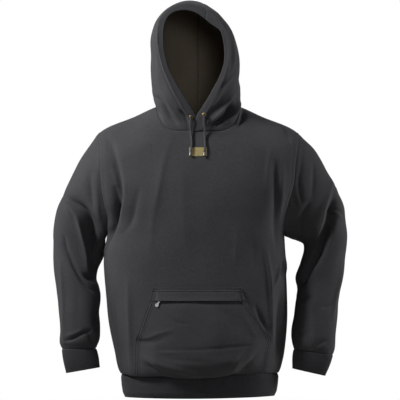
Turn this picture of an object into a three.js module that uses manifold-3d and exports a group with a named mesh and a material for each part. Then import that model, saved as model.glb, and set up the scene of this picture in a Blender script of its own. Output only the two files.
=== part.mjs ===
// Pullover hoodie, filled out as worn, with its hood up.
// Millimetres, +Z up, the front faces -Y, the wearer's left is +X.
// The origin lies in the middle of the neck seam, level with the shoulders.
// Each cut piece of cloth is a thin closed wall lofted through sections of the garment.
import * as THREE from "three";
import { mergeVertices } from "three/addons/utils/BufferGeometryUtils.js";
import Module from "manifold-3d";

// Driving sizes
const FLEECE = 2.2; // thickness of the brushed fleece
const RIB = 2.6; // thickness of the rib knit at cuffs and hem
const SEAM = 0.3; // distance between two sewn pieces
const CLEARANCE = 0.42; // least distance of a piece from the panel that it lies on
const SHARP = 0.45; // cosine of the angle past which two cloths meet in a crease
const NECK_HALF = 108; // half the width of the neck opening
const NECK_SIDE_Z = 14;
const NECK_FRONT_Z = -50;
const NECK_BACK_Z = -2;
const NECK_FRONT_POWER = 4.5; // how square the front neckline is
const NECK_BACK_POWER = 3;
const UNDERARM_Z = -318;
const HEM_SEAM_Z = -668;
const SHOULDER_TIP = 259; // half the width over the shoulder seams
const SHOULDER_ROUND = 95; // height over which the chest rounds up to the shoulder seam

// Number of faces along each piece
const BODY_ROWS = 10; // hem to underarm
const YOKE_ROWS = 12; // underarm to shoulder
const TOP_ROW = BODY_ROWS + YOKE_ROWS;
const SHOULDER_COLUMNS = 6; // from the neck point to the armhole
const NECK_COLUMNS = 6; // from the centre to the neck point
const SLEEVE_ROWS = 20;
const CUFF_ROWS = 3;
const SLEEVE_SETTLE = 5; // rings until the columns are spaced evenly
const HOOD_COLUMNS = 12; // from the neck seam to the crown seam
const ARCH_STEPS = 48; // places read along half an arch of the hood

// The torso, from the hem seam up: reach to the wearer's right and left, depth in front
// and behind, how square each section is, and the depth of the armhole edges.
const TORSO = [
  { z: -668, right: 195, left: 204, front: 122, back: 112, edgeFront: 0, edgeBack: 0 },
  { z: -648, right: 206, left: 213, front: 137, back: 123, edgeFront: 0, edgeBack: 0 },
  { z: -612, right: 215, left: 222, front: 142, back: 126, edgeFront: 0, edgeBack: 0 },
  { z: -538, right: 230, left: 229, front: 141, back: 121, edgeFront: 0, edgeBack: 0 },
  { z: -471, right: 236, left: 229, front: 137, back: 115, edgeFront: 0, edgeBack: 0 },
  { z: -400, right: 242, left: 226, front: 134, back: 113, edgeFront: 0, edgeBack: 0 },
  { z: -355, right: 242, left: 224, front: 133, back: 115, edgeFront: 0, edgeBack: 0 },
  { z: -318, right: 234, left: 222, front: 133, back: 117, edgeFront: 0, edgeBack: 0 },
  { z: -298, right: 232, left: 220, front: 133, back: 119, edgeFront: 30, edgeBack: 32 },
  { z: -270, right: 231, left: 221, front: 132, back: 121, edgeFront: 47, edgeBack: 52 },
  { z: -235, right: 240, left: 230, front: 131, back: 124, edgeFront: 57, edgeBack: 64 },
  { z: -185, right: 248, left: 244, front: 127, back: 126, edgeFront: 61, edgeBack: 70 },
  { z: -130, right: 250, left: 249, front: 117, back: 124, edgeFront: 58, edgeBack: 66 },
  { z: -88, right: 252, left: 255, front: 106, back: 117, edgeFront: 52, edgeBack: 58 },
  { z: -55, right: 258, left: 260, front: 95, back: 108, edgeFront: 46, edgeBack: 50 },
  { z: 20, right: 262, left: 264, front: 84, back: 92, edgeFront: 40, edgeBack: 42 },
];
const SQUARE = 2.4; // exponent of the torso's rounded sections
const SIDE_SEAM_Y = -8;

// Height of the shoulder ridge over the distance from the centre
const SHOULDER = [
  { x: 0, z: 34 },
  { x: 60, z: 28 },
  { x: 108, z: 14 },
  { x: 165, z: -12 },
  { x: 220, z: -33 },
  { x: 245, z: -46 },
  { x: 262, z: -60 },
];

// Sleeves: each ring runs from an outer to an inner point of the outline seen from the front.
// middle is the ring's distance behind the shoulder seam, deep is half its depth.
const SLEEVE_RIGHT = [
  { outX: -301, outZ: -124, inX: -239, inZ: -326, middle: 8, deep: 71 },
  { outX: -336, outZ: -190, inX: -242, inZ: -338, middle: 22, deep: 69 },
  { outX: -362, outZ: -246, inX: -241, inZ: -354, middle: 33, deep: 66 },
  { outX: -372, outZ: -298, inX: -243, inZ: -373, middle: 36, deep: 63 },
  { outX: -372, outZ: -348, inX: -250, inZ: -398, middle: 31, deep: 60 },
  { outX: -369, outZ: -404, inX: -257, inZ: -424, middle: 20, deep: 58 },
  { outX: -362, outZ: -461, inX: -250, inZ: -468, middle: 6, deep: 55 },
  { outX: -356, outZ: -512, inX: -251, inZ: -512, middle: -8, deep: 51 },
  { outX: -352, outZ: -558, inX: -249, inZ: -552, middle: -20, deep: 46 },
  { outX: -353, outZ: -590, inX: -252, inZ: -584, middle: -28, deep: 39 },
  { outX: -348, outZ: -605, inX: -260, inZ: -604, middle: -31, deep: 27 },
];
const SLEEVE_LEFT = [
  { outX: 303, outZ: -102, inX: 230, inZ: -321, middle: 10, deep: 72 },
  { outX: 330, outZ: -150, inX: 240, inZ: -325, middle: 18, deep: 70 },
  { outX: 356, outZ: -196, inX: 254, inZ: -329, middle: 24, deep: 68 },
  { outX: 374, outZ: -244, inX: 268, inZ: -337, middle: 27, deep: 65 },
  { outX: 382, outZ: -296, inX: 269, inZ: -352, middle: 27, deep: 62 },
  { outX: 380, outZ: -348, inX: 260, inZ: -382, middle: 22, deep: 60 },
  { outX: 373, outZ: -404, inX: 247, inZ: -424, middle: 14, deep: 58 },
  { outX: 364, outZ: -462, inX: 252, inZ: -462, middle: 4, deep: 54 },
  { outX: 358, outZ: -512, inX: 246, inZ: -516, middle: -8, deep: 51 },
  { outX: 352, outZ: -562, inX: 239, inZ: -556, middle: -20, deep: 46 },
  { outX: 350, outZ: -602, inX: 241, inZ: -590, middle: -28, deep: 39 },
  { outX: 345, outZ: -620, inX: 244, inZ: -606, middle: -31, deep: 27 },
];
// Cuff ends: outer and inner point of the open end, seen from the front
const CUFF_RIGHT_END = { outX: -337, outZ: -666, inX: -251, inZ: -651, middle: -36, deep: 18 };
const CUFF_LEFT_END = { outX: 325, outZ: -673, inX: 241, inZ: -654, middle: -36, deep: 18 };

// Hood: arches over the head, from the face edge to the back of the neck.
// along is the share of the front neckline where the arch stands, wide its half width,
// wideY and wideZ where that lies, topY and topZ its top.
const HOOD = [
  { along: 0.0, wide: 79, wideY: -110, wideZ: 160, topY: -104, topZ: 258 },
  { along: 0.11, wide: 93, wideY: -102, wideZ: 152, topY: -92, topZ: 276 },
  { along: 0.25, wide: 106, wideY: -72, wideZ: 136, topY: -46, topZ: 284 },
  { along: 0.42, wide: 112, wideY: -42, wideZ: 120, topY: 12, topZ: 284 },
  { along: 0.58, wide: 113, wideY: -18, wideZ: 104, topY: 76, topZ: 262 },
  { along: 0.73, wide: 112, wideY: 2, wideZ: 88, topY: 126, topZ: 204 },
  { along: 0.84, wide: 111, wideY: 14, wideZ: 70, topY: 140, topZ: 132 },
  { along: 0.93, wide: 110, wideY: 24, wideZ: 46, topY: 130, topZ: 74 },
  { along: 1.0, wide: 109, wideY: 24, wideZ: 28, topY: 88, topZ: 22 },
];

// Where the arches stand. Every corner of the neckline carries one.
const FRONT_ROWS = [0, 0.05, 0.1, 1 / 6, 0.25, 1 / 3, 5 / 12, 0.5];
const HOOD_ROWS = [...FRONT_ROWS, 7 / 12, 2 / 3, 0.75, 5 / 6, 0.885, 0.93, 0.97];

// The front edge of the hood, from its lower corner to the top of the face opening:
// half the opening's width at a height, and how far in front of the origin the edge stands.
const FACE_EDGE = [
  { half: 0, z: -50, y: -99 },
  { half: 1, z: -32, y: -103 },
  { half: 3, z: -14, y: -107 },
  { half: 17, z: 4, y: -110 },
  { half: 35, z: 29, y: -112 },
  { half: 51, z: 67, y: -112 },
  { half: 64, z: 104, y: -112 },
  { half: 75, z: 139, y: -111 },
  { half: 78, z: 166, y: -110 },
  { half: 72, z: 205, y: -108 },
  { half: 52, z: 238, y: -105 },
  { half: 0, z: 252, y: -104 },
];
const FACE_EDGE_FADE = 0.3; // share of the neckline over which that edge blends into the arches

// Handles of an arch's two curves, as shares of the way from its foot to its widest point and
// on to its top
const ARCH_HANDLES = {
  leave: { x: 0.45, y: 0.15, z: 0.36 },
  arrive: { y: 0.85, z: 0.58 },
  temple: { y: 0.35, z: 0.58 },
  crown: { x: 0.52 },
};

// How far the head is shifted to the wearer's right (less than zero), and where each shift acts
const HOOD_SHIFT = {
  face: -10.5,
  head: -7.5, // from this share of the neckline on, in place of face
  headFrom: 0.35,
  footShare: 0.2, // share of an arch over which the shift grows from its foot
  crown: { x: -14, low: 190, high: 290 },
  temple: { x: -13, low: 130, full: 205, ease: 220, high: 290, reach: 70 },
  napeFrom: 0.7, // share of the neckline from which all of it dies out
};
const CROWN_SEAM_X = 21; // where the seam over the crown meets the face edge
const LAP = { x: -11, xReach: 32, y: -4.4, yReach: 46 }; // the left front edge laps over the right one
const CASING = { rows: 2, rise: 1.1, groove: -0.4 }; // the drawcord's casing along the front edge
const NECK_EASE = 0.4; // the hood stands this much further off its seam near the neck points

// Hem band: distance below the hem seam, and how far it is drawn in
const HEM = [
  { down: 0, draw: 0 },
  { down: 10, draw: -1.5 },
  { down: 28, draw: 0 },
  { down: 44, draw: 3 },
  { down: 54, draw: 8 },
];

// Folds, drawn as seen from the front. A row's depth is the height of a ridge, or less than
// zero for a trough, and width is its reach to each side.
const FOLD_STEPS = 28;
const FOLD_ENDS = 0.12; // share of a fold's length that is left off each end of its rise and fall
const FOLD_FACING = [-0.35, 0.2]; // a fold dies out where the cloth turns away from its side
const FRONT_FOLDS = [
  { path: [[-222, -80], [-222, -140], [-220, -200], [-226, -262], [-238, -312]], depth: -12, width: 17 },
  { path: [[-208, -95], [-192, -150], [-192, -190], [-203, -245], [-222, -300]], depth: 4, width: 18 },
  { path: [[226, -60], [236, -100], [231, -170], [220, -236]], depth: -6, width: 16 },
  { path: [[221, -350], [206, -400], [192, -448]], depth: -4, width: 14 },
  { path: [[190, -445], [189, -520], [190, -594]], depth: 4, width: 15 },
  { path: [[214, -470], [213, -540], [208, -612]], depth: -5, width: 15 },
];
const BACK_FOLDS = [
  { path: [[-220, -110], [-214, -190], [-222, -270]], depth: -7, width: 18 },
  { path: [[220, -110], [214, -190], [220, -270]], depth: -7, width: 18 },
  { path: [[-120, -560], [-30, -600], [90, -588]], depth: -5, width: 20 },
  { path: [[-60, -625], [40, -640], [140, -620]], depth: 4, width: 18 },
];
const SLEEVE_RIGHT_FOLDS = [
  { path: [[-350, -214], [-310, -238], [-285, -296], [-274, -366], [-258, -424]], depth: -13, width: 17 },
  { path: [[-352, -226], [-330, -262], [-304, -304], [-292, -360], [-290, -410]], depth: 6, width: 17 },
  { path: [[-337, -334], [-314, -396], [-290, -436], [-256, -452]], depth: -5, width: 16 },
  { path: [[-250, -498], [-276, -508], [-300, -512]], depth: -4, width: 14 },
];
const SLEEVE_LEFT_FOLDS = [
  { path: [[340, -262], [330, -304], [314, -350], [280, -412], [250, -448]], depth: -12, width: 17 },
  { path: [[350, -186], [326, -234], [314, -292], [292, -342]], depth: 6, width: 17 },
  { path: [[366, -236], [350, -262], [352, -300]], depth: -5, width: 15 },
  { path: [[262, -483], [300, -488], [338, -500]], depth: -6, width: 15 },
];
const HOOD_FOLDS = [
  { path: [[-112, 48], [-92, 24], [-72, -12], [-54, -32]], depth: -7, width: 15 },
  { path: [[-118, 66], [-84, 42], [-46, 14], [-22, -6]], depth: 4, width: 14 },
  { path: [[108, 52], [88, 10], [60, -14], [34, -32]], depth: -8, width: 15 },
  { path: [[98, 104], [62, 60], [36, 24], [18, 0]], depth: 4, width: 14 },
];

// The pocket's outline: reach to each side of the centre line
const POCKET = [
  { z: -662, right: 161, left: 171 },
  { z: -632, right: 161, left: 177 },
  { z: -580, right: 158, left: 186 },
  { z: -553, right: 148, left: 169 },
  { z: -514, right: 135, left: 144 },
  { z: -480, right: 123, left: 121 },
  { z: -448, right: 115, left: 109 },
];
const POCKET_WALL = { rows: 12, columns: 16, thick: 2 };
const POUCH = {
  stand: 14, // how far it stands off the front panel
  footHeight: 34, // height over which it leaves the bottom seam
  headBelow: 20, // it starts to lie down this far below the flap's edge
  headAbove: 16, // and lies flat this far above it
  mouthLow: -580, // the side openings end here, and the sides are sewn below
  mouthBelow: 5, // height below and above that end over which the one becomes the other
  mouthAbove: 15,
  mouthShare: 0.8, // share of the stand at an open side
  mouthWidth: 0.3, // share of the width over which that grows to the whole
  sewnWidth: 0.16, // share of the width over which a sewn side leaves its seam
  topShare: 0.45, // share of the stand that is left at the flap
  topFrom: -600, // where it starts to shrink to that
};
const FLAP = { rows: 3, columns: 14, thick: 1.8, low: -479, stand: 4.8, inset: 0.6 };

// Small parts
const LABEL = { rows: 2, columns: 4, thick: 1, width: 45, height: 22.5, z: -102.5 };
const EYELET = { inner: 2.9, outer: 5.2, high: 1.5, stand: 0.7, sides: 20 };
const EYELET_SECTION = [[0, 0], [1, 0], [0.83, 0.7], [0.48, 1], [0.17, 0.8], [0, 0]]; // width, height
const EYELET_RIGHT = { x: -18.2, z: -14 };
const EYELET_LEFT = { x: 15.4, z: -8 };
const CORD = { width: 5, sides: 8, steps: 38, start: 0.4, turn: 4.8 };
const TIP = { width: 5.4, length: 9, sides: 12 };

// Routes of the drawcord's free ends below the eyelets; off is the space to the cloth
const CORD_RIGHT = [
  { x: -19, z: -21.5, off: 3.2 },
  { x: -19.5, z: -33, off: 3.4 },
  { x: -19, z: -43, off: 2.6 },
  { x: -18.2, z: -58, off: 2.2 },
  { x: -16.4, z: -71, off: 1.4 },
  { x: -16, z: -79, off: 1 },
  { x: -17.2, z: -93, off: 1 },
  { x: -19, z: -103, off: 1 },
];
const CORD_LEFT = [
  { x: 14.8, z: -15.5, off: 3.2 },
  { x: 14.6, z: -28, off: 3.4 },
  { x: 16.8, z: -43, off: 2.6 },
  { x: 16.2, z: -61, off: 2.2 },
  { x: 17.4, z: -77, off: 1.2 },
  { x: 17.6, z: -91, off: 1 },
  { x: 15.8, z: -104, off: 1 },
];

// Zip slider and pull tab; the tab hangs from a bar and leans to the wearer's right
const SLIDER = { length: 12, height: 6.5, thick: 2, rise: 2.8, reach: 6, rail: 1, cross: 1.2 };
const PULL = {
  x: -97,
  z: -482,
  lean: 33,
  stand: 2.5, // height of the bar's axis over the pocket
  bar: 1.2,
  eye: 1.15,
  rim: 0.825, // wall of the eye
  play: 0.4,
  neck: 4.2,
  head: 9.6,
  length: 17,
  neckEnd: 0.4, // shares of the length where the neck ends, and the head is wide and starts to close
  headStart: 0.66,
  headEnd: 0.82,
  thick: 1.1,
};

// Smooth reading of a table between its rows, by one of its columns.
function profile(rows, by) {
  const at = rows.map((row) => row[by]);
  const names = Object.keys(rows[0]).filter((name) => name !== by);
  const slope = (name, i) => {
    const a = Math.max(i - 1, 0);
    const b = Math.min(i + 1, rows.length - 1);
    return (rows[b][name] - rows[a][name]) / (at[b] - at[a]);
  };
  return (value) => {
    let i = 0;
    while (i < rows.length - 2 && value > at[i + 1]) i++;
    const span = at[i + 1] - at[i];
    const t = THREE.MathUtils.clamp((value - at[i]) / span, 0, 1);
    const out = {};
    for (const name of names) {
      const blend = 3 * t ** 2 - 2 * t ** 3;
      const leave = slope(name, i) * span * (t ** 3 - 2 * t ** 2 + t);
      const arrive = slope(name, i + 1) * span * (t ** 3 - t ** 2);
      out[name] = lerp(rows[i][name], rows[i + 1][name], blend) + leave + arrive;
    }
    return out;
  };
}

const lerp = THREE.MathUtils.lerp;
const smooth = THREE.MathUtils.smoothstep;
const vec = (x, y, z) => new THREE.Vector3(x, y, z);
const column = (grid, j) => grid.map((row) => row[j]);
const torsoAt = profile(TORSO, "z");
const shoulderAt = profile(SHOULDER, "x");
const pocketAt = profile(POCKET, "z");
const hoodAt = profile(HOOD, "along");

// Depth of the torso's surface, in front (-1) or behind (+1), at a place of the front view.
function torsoDepth(side, x, z) {
  const row = torsoAt(z);
  const half = x < 0 ? row.right : row.left;
  const depth = side < 0 ? row.front : row.back;
  const edge = side < 0 ? row.edgeFront : row.edgeBack;
  const share = (1 - (Math.max(edge, 0) / depth) ** SQUARE) ** (1 / SQUARE);
  const off = Math.min((Math.abs(x) * share) / half, 1);
  const round = (1 - off ** SQUARE) ** (1 / SQUARE);
  const ridge = shoulderAt((Math.abs(x) / half) * SHOULDER_TIP).z;
  const below = THREE.MathUtils.clamp((ridge - z) / SHOULDER_ROUND, 0, 1);
  return SIDE_SEAM_Y + side * depth * round * Math.sqrt(1 - (1 - below) ** 2);
}

// Height of the top edge of the front (-1) or back (+1) panel.
function topEdge(side, x) {
  const off = Math.abs(x);
  if (off >= NECK_HALF) return shoulderAt(off).z;
  const low = side < 0 ? NECK_FRONT_Z : NECK_BACK_Z;
  const power = side < 0 ? NECK_FRONT_POWER : NECK_BACK_POWER;
  return lerp(low, NECK_SIDE_Z, (off / NECK_HALF) ** power);
}

// Places of the panel's columns, as shares of its half width.
function bodyColumns() {
  const neck = NECK_HALF / SHOULDER_TIP;
  const quarter = (i, count) => Math.sin((i / count) * (Math.PI / 2));
  const half = [];
  for (let i = 0; i <= NECK_COLUMNS; i++) half.push(neck * quarter(i, NECK_COLUMNS));
  for (let i = 1; i <= SHOULDER_COLUMNS; i++) half.push(lerp(neck, 1, quarter(i, SHOULDER_COLUMNS) ** 0.8));
  return [...half.slice(1).reverse().map((share) => -share), ...half];
}

// Outer points of the front or back panel: rows from the hem seam to the top edge.
function bodyGrid(side) {
  const rows = [];
  for (let i = 0; i <= TOP_ROW; i++) {
    const low = lerp(HEM_SEAM_Z, UNDERARM_Z, Math.min(i / BODY_ROWS, 1));
    const up = Math.max(i - BODY_ROWS, 0) / YOKE_ROWS;
    rows.push(
      bodyColumns().map((share) => {
        const z = lerp(low, topEdge(side, share * SHOULDER_TIP), up);
        const reach = torsoAt(z);
        const x = share * (share < 0 ? reach.right : reach.left);
        return vec(x, torsoDepth(side, x, z), z);
      }),
    );
  }
  return rows;
}

// Outward normals of a grid of points. closed joins the last column to the first.
function gridNormals(grid, closed, flip) {
  const last = grid.length - 1;
  return grid.map((row, i) =>
    row.map((point, j) => {
      const count = row.length;
      const before = closed ? row[(j + count - 1) % count] : row[Math.max(j - 1, 0)];
      const after = closed ? row[(j + 1) % count] : row[Math.min(j + 1, count - 1)];
      const across = vec().subVectors(after, before);
      const along = vec().subVectors(grid[Math.min(i + 1, last)][j], grid[Math.max(i - 1, 0)][j]);
      const normal = across.cross(along).normalize();
      return flip ? normal.negate() : normal;
    }),
  );
}

// Height that a fold adds at a place of the front view.
function foldHeight(fold) {
  const points = new THREE.CatmullRomCurve3(fold.path.map(([x, z]) => vec(x, 0, z))).getPoints(FOLD_STEPS);
  return (x, z) => {
    const away = points.map((p) => Math.hypot(p.x - x, p.z - z));
    const near = Math.min(...away);
    const share = away.indexOf(near) / (points.length - 1);
    const along = Math.sin(Math.PI * lerp(FOLD_ENDS, 1 - FOLD_ENDS, share));
    return fold.depth * along * Math.exp(-((near / fold.width) ** 2));
  };
}

// Presses folds into the side of a grid that faces the front (-1) or the back (+1).
function pressFolds(grid, normals, folds, side, fade) {
  const heights = folds.map(foldHeight);
  grid.forEach((row, i) =>
    row.forEach((point, j) => {
      const facing = smooth(side * normals[i][j].y, ...FOLD_FACING);
      const { x, z } = point;
      const height = heights.reduce((sum, heightAt) => sum + heightAt(x, z), 0);
      point.addScaledVector(normals[i][j], height * facing * fade(i, j));
    }),
  );
}

// Gives the normals that meet in one point of a seam one shared direction, so that the edges
// of the walls lie face to face. In a sharp crease each wall keeps its own direction.
function shareNormal(...normals) {
  const sharp = normals.some((one) => normals.some((other) => one.dot(other) < SHARP));
  const sum = normals.reduce((total, normal) => total.add(normal), vec()).normalize();
  if (!sharp) normals.forEach((normal) => normal.copy(sum));
}

// Gives two normals their mean direction, also over a sharp ridge.
function levelNormal(one, other) {
  one.add(other).normalize();
  other.copy(one);
}

// Moves an edge of a grid towards the next line of points, to part it from what it is sewn to.
function trim(edge, inner, ease = () => 0) {
  edge.forEach((point, j) => {
    const away = vec().subVectors(inner[j], point);
    point.addScaledVector(away, (SEAM / 2 + ease(j)) / away.length());
  });
}

// A closed wall on a grid of outer points, with its thickness on the inner side.
function wallGeometry(grid, normals, thick, closed) {
  const rows = grid.length;
  const columns = grid[0].length;
  const inside = rows * columns;
  const inner = grid.map((row, i) => row.map((p, j) => p.clone().addScaledVector(normals[i][j], -thick)));
  const positions = [...grid.flat(), ...inner.flat()].flatMap((p) => [p.x, p.y, p.z]);
  const faces = [];
  const quad = (a, b, c, d) => faces.push(a, b, c, a, c, d);
  const spans = closed ? columns : columns - 1;
  for (let j = 0; j < spans; j++) {
    const k = (j + 1) % columns;
    const top = (rows - 1) * columns;
    for (let i = 0; i < top; i += columns) {
      quad(i + j, i + k, i + columns + k, i + columns + j);
      quad(inside + i + j, inside + i + columns + j, inside + i + columns + k, inside + i + k);
    }
    quad(k, j, inside + j, inside + k);
    quad(top + j, top + k, inside + top + k, inside + top + j);
  }
  for (let i = 0; !closed && i < rows - 1; i++) {
    const a = i * columns;
    const b = a + columns;
    const end = columns - 1;
    quad(a, b, inside + b, inside + a);
    quad(b + end, a + end, inside + a + end, inside + b + end);
  }
  const geometry = new THREE.BufferGeometry();
  geometry.setAttribute("position", new THREE.Float32BufferAttribute(positions, 3));
  geometry.setIndex(faces);
  return facingOut(geometry);
}

// Turns the faces of a closed geometry round where it is inside out.
function facingOut(geometry) {
  const places = geometry.attributes.position;
  const index = geometry.index.array;
  const corner = (i) => vec().fromBufferAttribute(places, index[i]);
  let volume = 0;
  for (let i = 0; i < index.length; i += 3) {
    volume += corner(i).dot(corner(i + 1).cross(corner(i + 2)));
  }
  for (let i = 0; volume < 0 && i < index.length; i += 3) {
    [index[i + 1], index[i + 2]] = [index[i + 2], index[i + 1]];
  }
  geometry.computeVertexNormals();
  return geometry;
}

// Joins the doubled points of a lathe, box or extrusion, so that it is closed.
function closedShape(geometry) {
  geometry.deleteAttribute("normal");
  geometry.deleteAttribute("uv");
  return facingOut(mergeVertices(geometry, 1e-4));
}

// Finishes
const charcoal = new THREE.MeshStandardMaterial({ color: 0x3a3a3d, roughness: 0.95 });
const ribKnit = new THREE.MeshStandardMaterial({ color: 0x2f2f32, roughness: 0.95 });
const woven = new THREE.MeshStandardMaterial({ color: 0xa89850, roughness: 0.7 });
const brass = new THREE.MeshStandardMaterial({ color: 0x9a8550, metalness: 1, roughness: 0.35 });
const steel = new THREE.MeshStandardMaterial({ color: 0xb9bcc0, metalness: 1, roughness: 0.3 });
const braid = new THREE.MeshStandardMaterial({ color: 0x303033, roughness: 0.9 });

const hoodie = new THREE.Group();

function add(name, geometry, material) {
  const mesh = new THREE.Mesh(geometry, material.clone());
  mesh.name = name;
  hoodie.add(mesh);
  return mesh;
}

// Front and back panels. Folds die out near the seams, so that the seams stay where they are.
function bodyPanel(side, folds) {
  const grid = bodyGrid(side);
  const lastColumn = grid[0].length - 1;
  const flip = side > 0;
  pressFolds(grid, gridNormals(grid, false, flip), folds, side, (i, j) => {
    const rows = Math.min(i, TOP_ROW - i) / 2;
    const columns = i > BODY_ROWS - 2 ? Math.min(j, lastColumn - j) / 1.5 : 1;
    return Math.min(rows, 1) * Math.min(columns, 1);
  });
  return { grid, normals: gridNormals(grid, false, flip) };
}
const front = bodyPanel(-1, FRONT_FOLDS);
const back = bodyPanel(1, BACK_FOLDS);
const SIDES = [0, front.grid[0].length - 1]; // the columns along the side seams and armholes
for (const j of SIDES) {
  for (let i = 0; i <= BODY_ROWS; i++) levelNormal(front.normals[i][j], back.normals[i][j]);
}
const neckStart = SHOULDER_COLUMNS;
const neckEnd = neckStart + 2 * NECK_COLUMNS;
for (let j = 0; j <= SIDES[1]; j++) {
  const shoulder = j <= neckStart || j >= neckEnd;
  if (shoulder) levelNormal(front.normals[TOP_ROW][j], back.normals[TOP_ROW][j]);
}

// A seam line: its points, and for each one the normals of the panels that meet there.
const seamOf = (points, meets) => ({ points: points.map((p) => p.clone()), meets });

// The loop of an armhole, from the underarm up the front, over the shoulder and down the back.
function armhole(j) {
  const up = column(front.grid, j).slice(BODY_ROWS);
  const down = column(back.grid, j).slice(BODY_ROWS + 1, -1).reverse();
  const meets = column(front.normals, j).slice(BODY_ROWS).map((normal) => [normal]);
  meets[0].push(back.normals[BODY_ROWS][j]);
  meets[YOKE_ROWS].push(back.normals[TOP_ROW][j]);
  const behind = column(back.normals, j).slice(BODY_ROWS + 1, -1).reverse().map((normal) => [normal]);
  return seamOf([...up, ...down], [...meets, ...behind]);
}

// Half of the neckline of a panel, from the centre to the neck point of one side.
function neckline(panel, side) {
  const centre = neckStart + NECK_COLUMNS;
  const places = [];
  for (let k = 0; k <= NECK_COLUMNS; k++) places.push(centre + side * k);
  const meets = places.map((j) => [panel.normals[TOP_ROW][j]]);
  const seam = seamOf(places.map((j) => panel.grid[TOP_ROW][j]), meets);
  seam.meets[NECK_COLUMNS].push(front.normals[TOP_ROW][places[NECK_COLUMNS]]);
  return seam;
}

const around = (lines) => [...lines[0], ...[...lines[1]].reverse().slice(1, -1)];
const hemSeam = seamOf(around([front.grid[0], back.grid[0]]), around([front.normals[0], back.normals[0]]));

// Hem band: from the hem seam down, drawn in at its lower edge
const hemFlat = hemSeam.meets.map((normal) => normal.clone().setZ(0).normalize());
const hemGrid = HEM.map(({ down, draw }) =>
  hemSeam.points.map((p, j) => p.clone().addScaledVector(hemFlat[j], -draw).setZ(p.z - down)),
);
const hemNormals = gridNormals(hemGrid, true, true);
hemNormals[0].forEach((normal, j) => shareNormal(normal, hemSeam.meets[j]));
for (const j of SIDES) back.normals[0][j].copy(front.normals[0][j]);
trim(hemGrid[0], hemGrid[1]);
add("hem_band", wallGeometry(hemGrid, hemNormals, RIB, true), ribKnit);

// A point of a sleeve's ring. turn 0 is the inner side, a quarter the front, a half the outer side.
function ringPoint(ring, turn) {
  const angle = turn * 2 * Math.PI;
  const inward = (1 + Math.cos(angle)) / 2;
  const y = ring.middle - ring.deep * Math.sin(angle);
  return vec(lerp(ring.outX, ring.inX, inward), y, lerp(ring.outZ, ring.inZ, inward));
}

// A sleeve and its cuff: columns run from the armhole's points through every ring of the table,
// and on to the cuff's open end.
function sleeve(name, j, rings, folds, cuffEnd) {
  const seam = armhole(j);
  const flip = j > 0;
  const count = seam.points.length;
  const under = seam.points[0].z;
  const over = seam.points[YOKE_ROWS].z;
  const lines = seam.points.map((start, k) => {
    const rise = (start.z - under) / (over - under);
    const quarter = Math.acos(1 - 2 * rise) / (2 * Math.PI);
    const first = k <= YOKE_ROWS ? quarter : 1 - quarter;
    const turns = rings.map((ring, i) => lerp(first, k / count, smooth(i, 0, SLEEVE_SETTLE)));
    const points = [start, ...rings.map((ring, i) => ringPoint(ring, turns[i]))];
    return new THREE.CatmullRomCurve3(points, false, "centripetal");
  });
  const grid = [];
  for (let i = 0; i <= SLEEVE_ROWS; i++) grid.push(lines.map((line) => line.getPoint(i / SLEEVE_ROWS)));
  const fade = (i) => THREE.MathUtils.clamp(Math.min(i / 2.5, (SLEEVE_ROWS - i) / 2), 0, 1);
  pressFolds(grid, gridNormals(grid, true, flip), folds, -1, fade);
  const normals = gridNormals(grid, true, flip);
  normals[0].forEach((normal, k) => shareNormal(normal, ...seam.meets[k]));

  const cuff = [];
  for (let i = 0; i <= CUFF_ROWS; i++) {
    cuff.push(grid[SLEEVE_ROWS].map((p, k) => p.clone().lerp(ringPoint(cuffEnd, k / count), i / CUFF_ROWS)));
  }
  const cuffNormals = gridNormals(cuff, true, flip);
  normals[SLEEVE_ROWS].forEach((normal, k) => shareNormal(normal, cuffNormals[0][k]));
  trim(grid[0], grid[1]);
  trim(grid[SLEEVE_ROWS], grid[SLEEVE_ROWS - 1]);
  trim(cuff[0], cuff[1]);
  add(`sleeve_${name}`, wallGeometry(grid, normals, FLEECE, true), charcoal);
  add(`cuff_${name}`, wallGeometry(cuff, cuffNormals, RIB, true), ribKnit);
}
sleeve("right", SIDES[0], SLEEVE_RIGHT, SLEEVE_RIGHT_FOLDS, CUFF_RIGHT_END);
sleeve("left", SIDES[1], SLEEVE_LEFT, SLEEVE_LEFT_FOLDS, CUFF_LEFT_END);

// A place on a line of points, by its share of the number of spans
function onLine(points, share) {
  const place = share * (points.length - 1);
  const i = Math.min(Math.floor(place), points.length - 2);
  return points[i].clone().lerp(points[i + 1], place - i);
}

// Half of an arch of the hood, from its foot on the neck seam to the top, on one side.
function halfArch(row, foot, side) {
  const wide = vec(side * row.wide, row.wideY, row.wideZ);
  const top = vec(0, row.topY, row.topZ);
  const on = (a, b, { x = 1, y = 1, z = 1 }) => vec(lerp(a.x, b.x, x), lerp(a.y, b.y, y), lerp(a.z, b.z, z));
  const leave = on(foot, wide, ARCH_HANDLES.leave);
  const arrive = on(foot, wide, ARCH_HANDLES.arrive);
  const temple = on(wide, top, { x: 0, ...ARCH_HANDLES.temple });
  const crown = on(top, vec(wide.x, top.y, top.z), ARCH_HANDLES.crown);
  const path = new THREE.CurvePath();
  path.add(new THREE.CubicBezierCurve3(foot, leave, arrive, wide));
  path.add(new THREE.CubicBezierCurve3(wide, temple, crown, top));
  return path.getSpacedPoints(ARCH_STEPS);
}

// The front edge of one side of the hood, with as many points as half an arch.
function faceEdge(side, corner) {
  const points = FACE_EDGE.map(({ half, y, z }) => vec(side * half, y, z));
  points[0].copy(corner);
  return new THREE.CatmullRomCurve3(points, false, "centripetal").getSpacedPoints(ARCH_STEPS);
}

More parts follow.
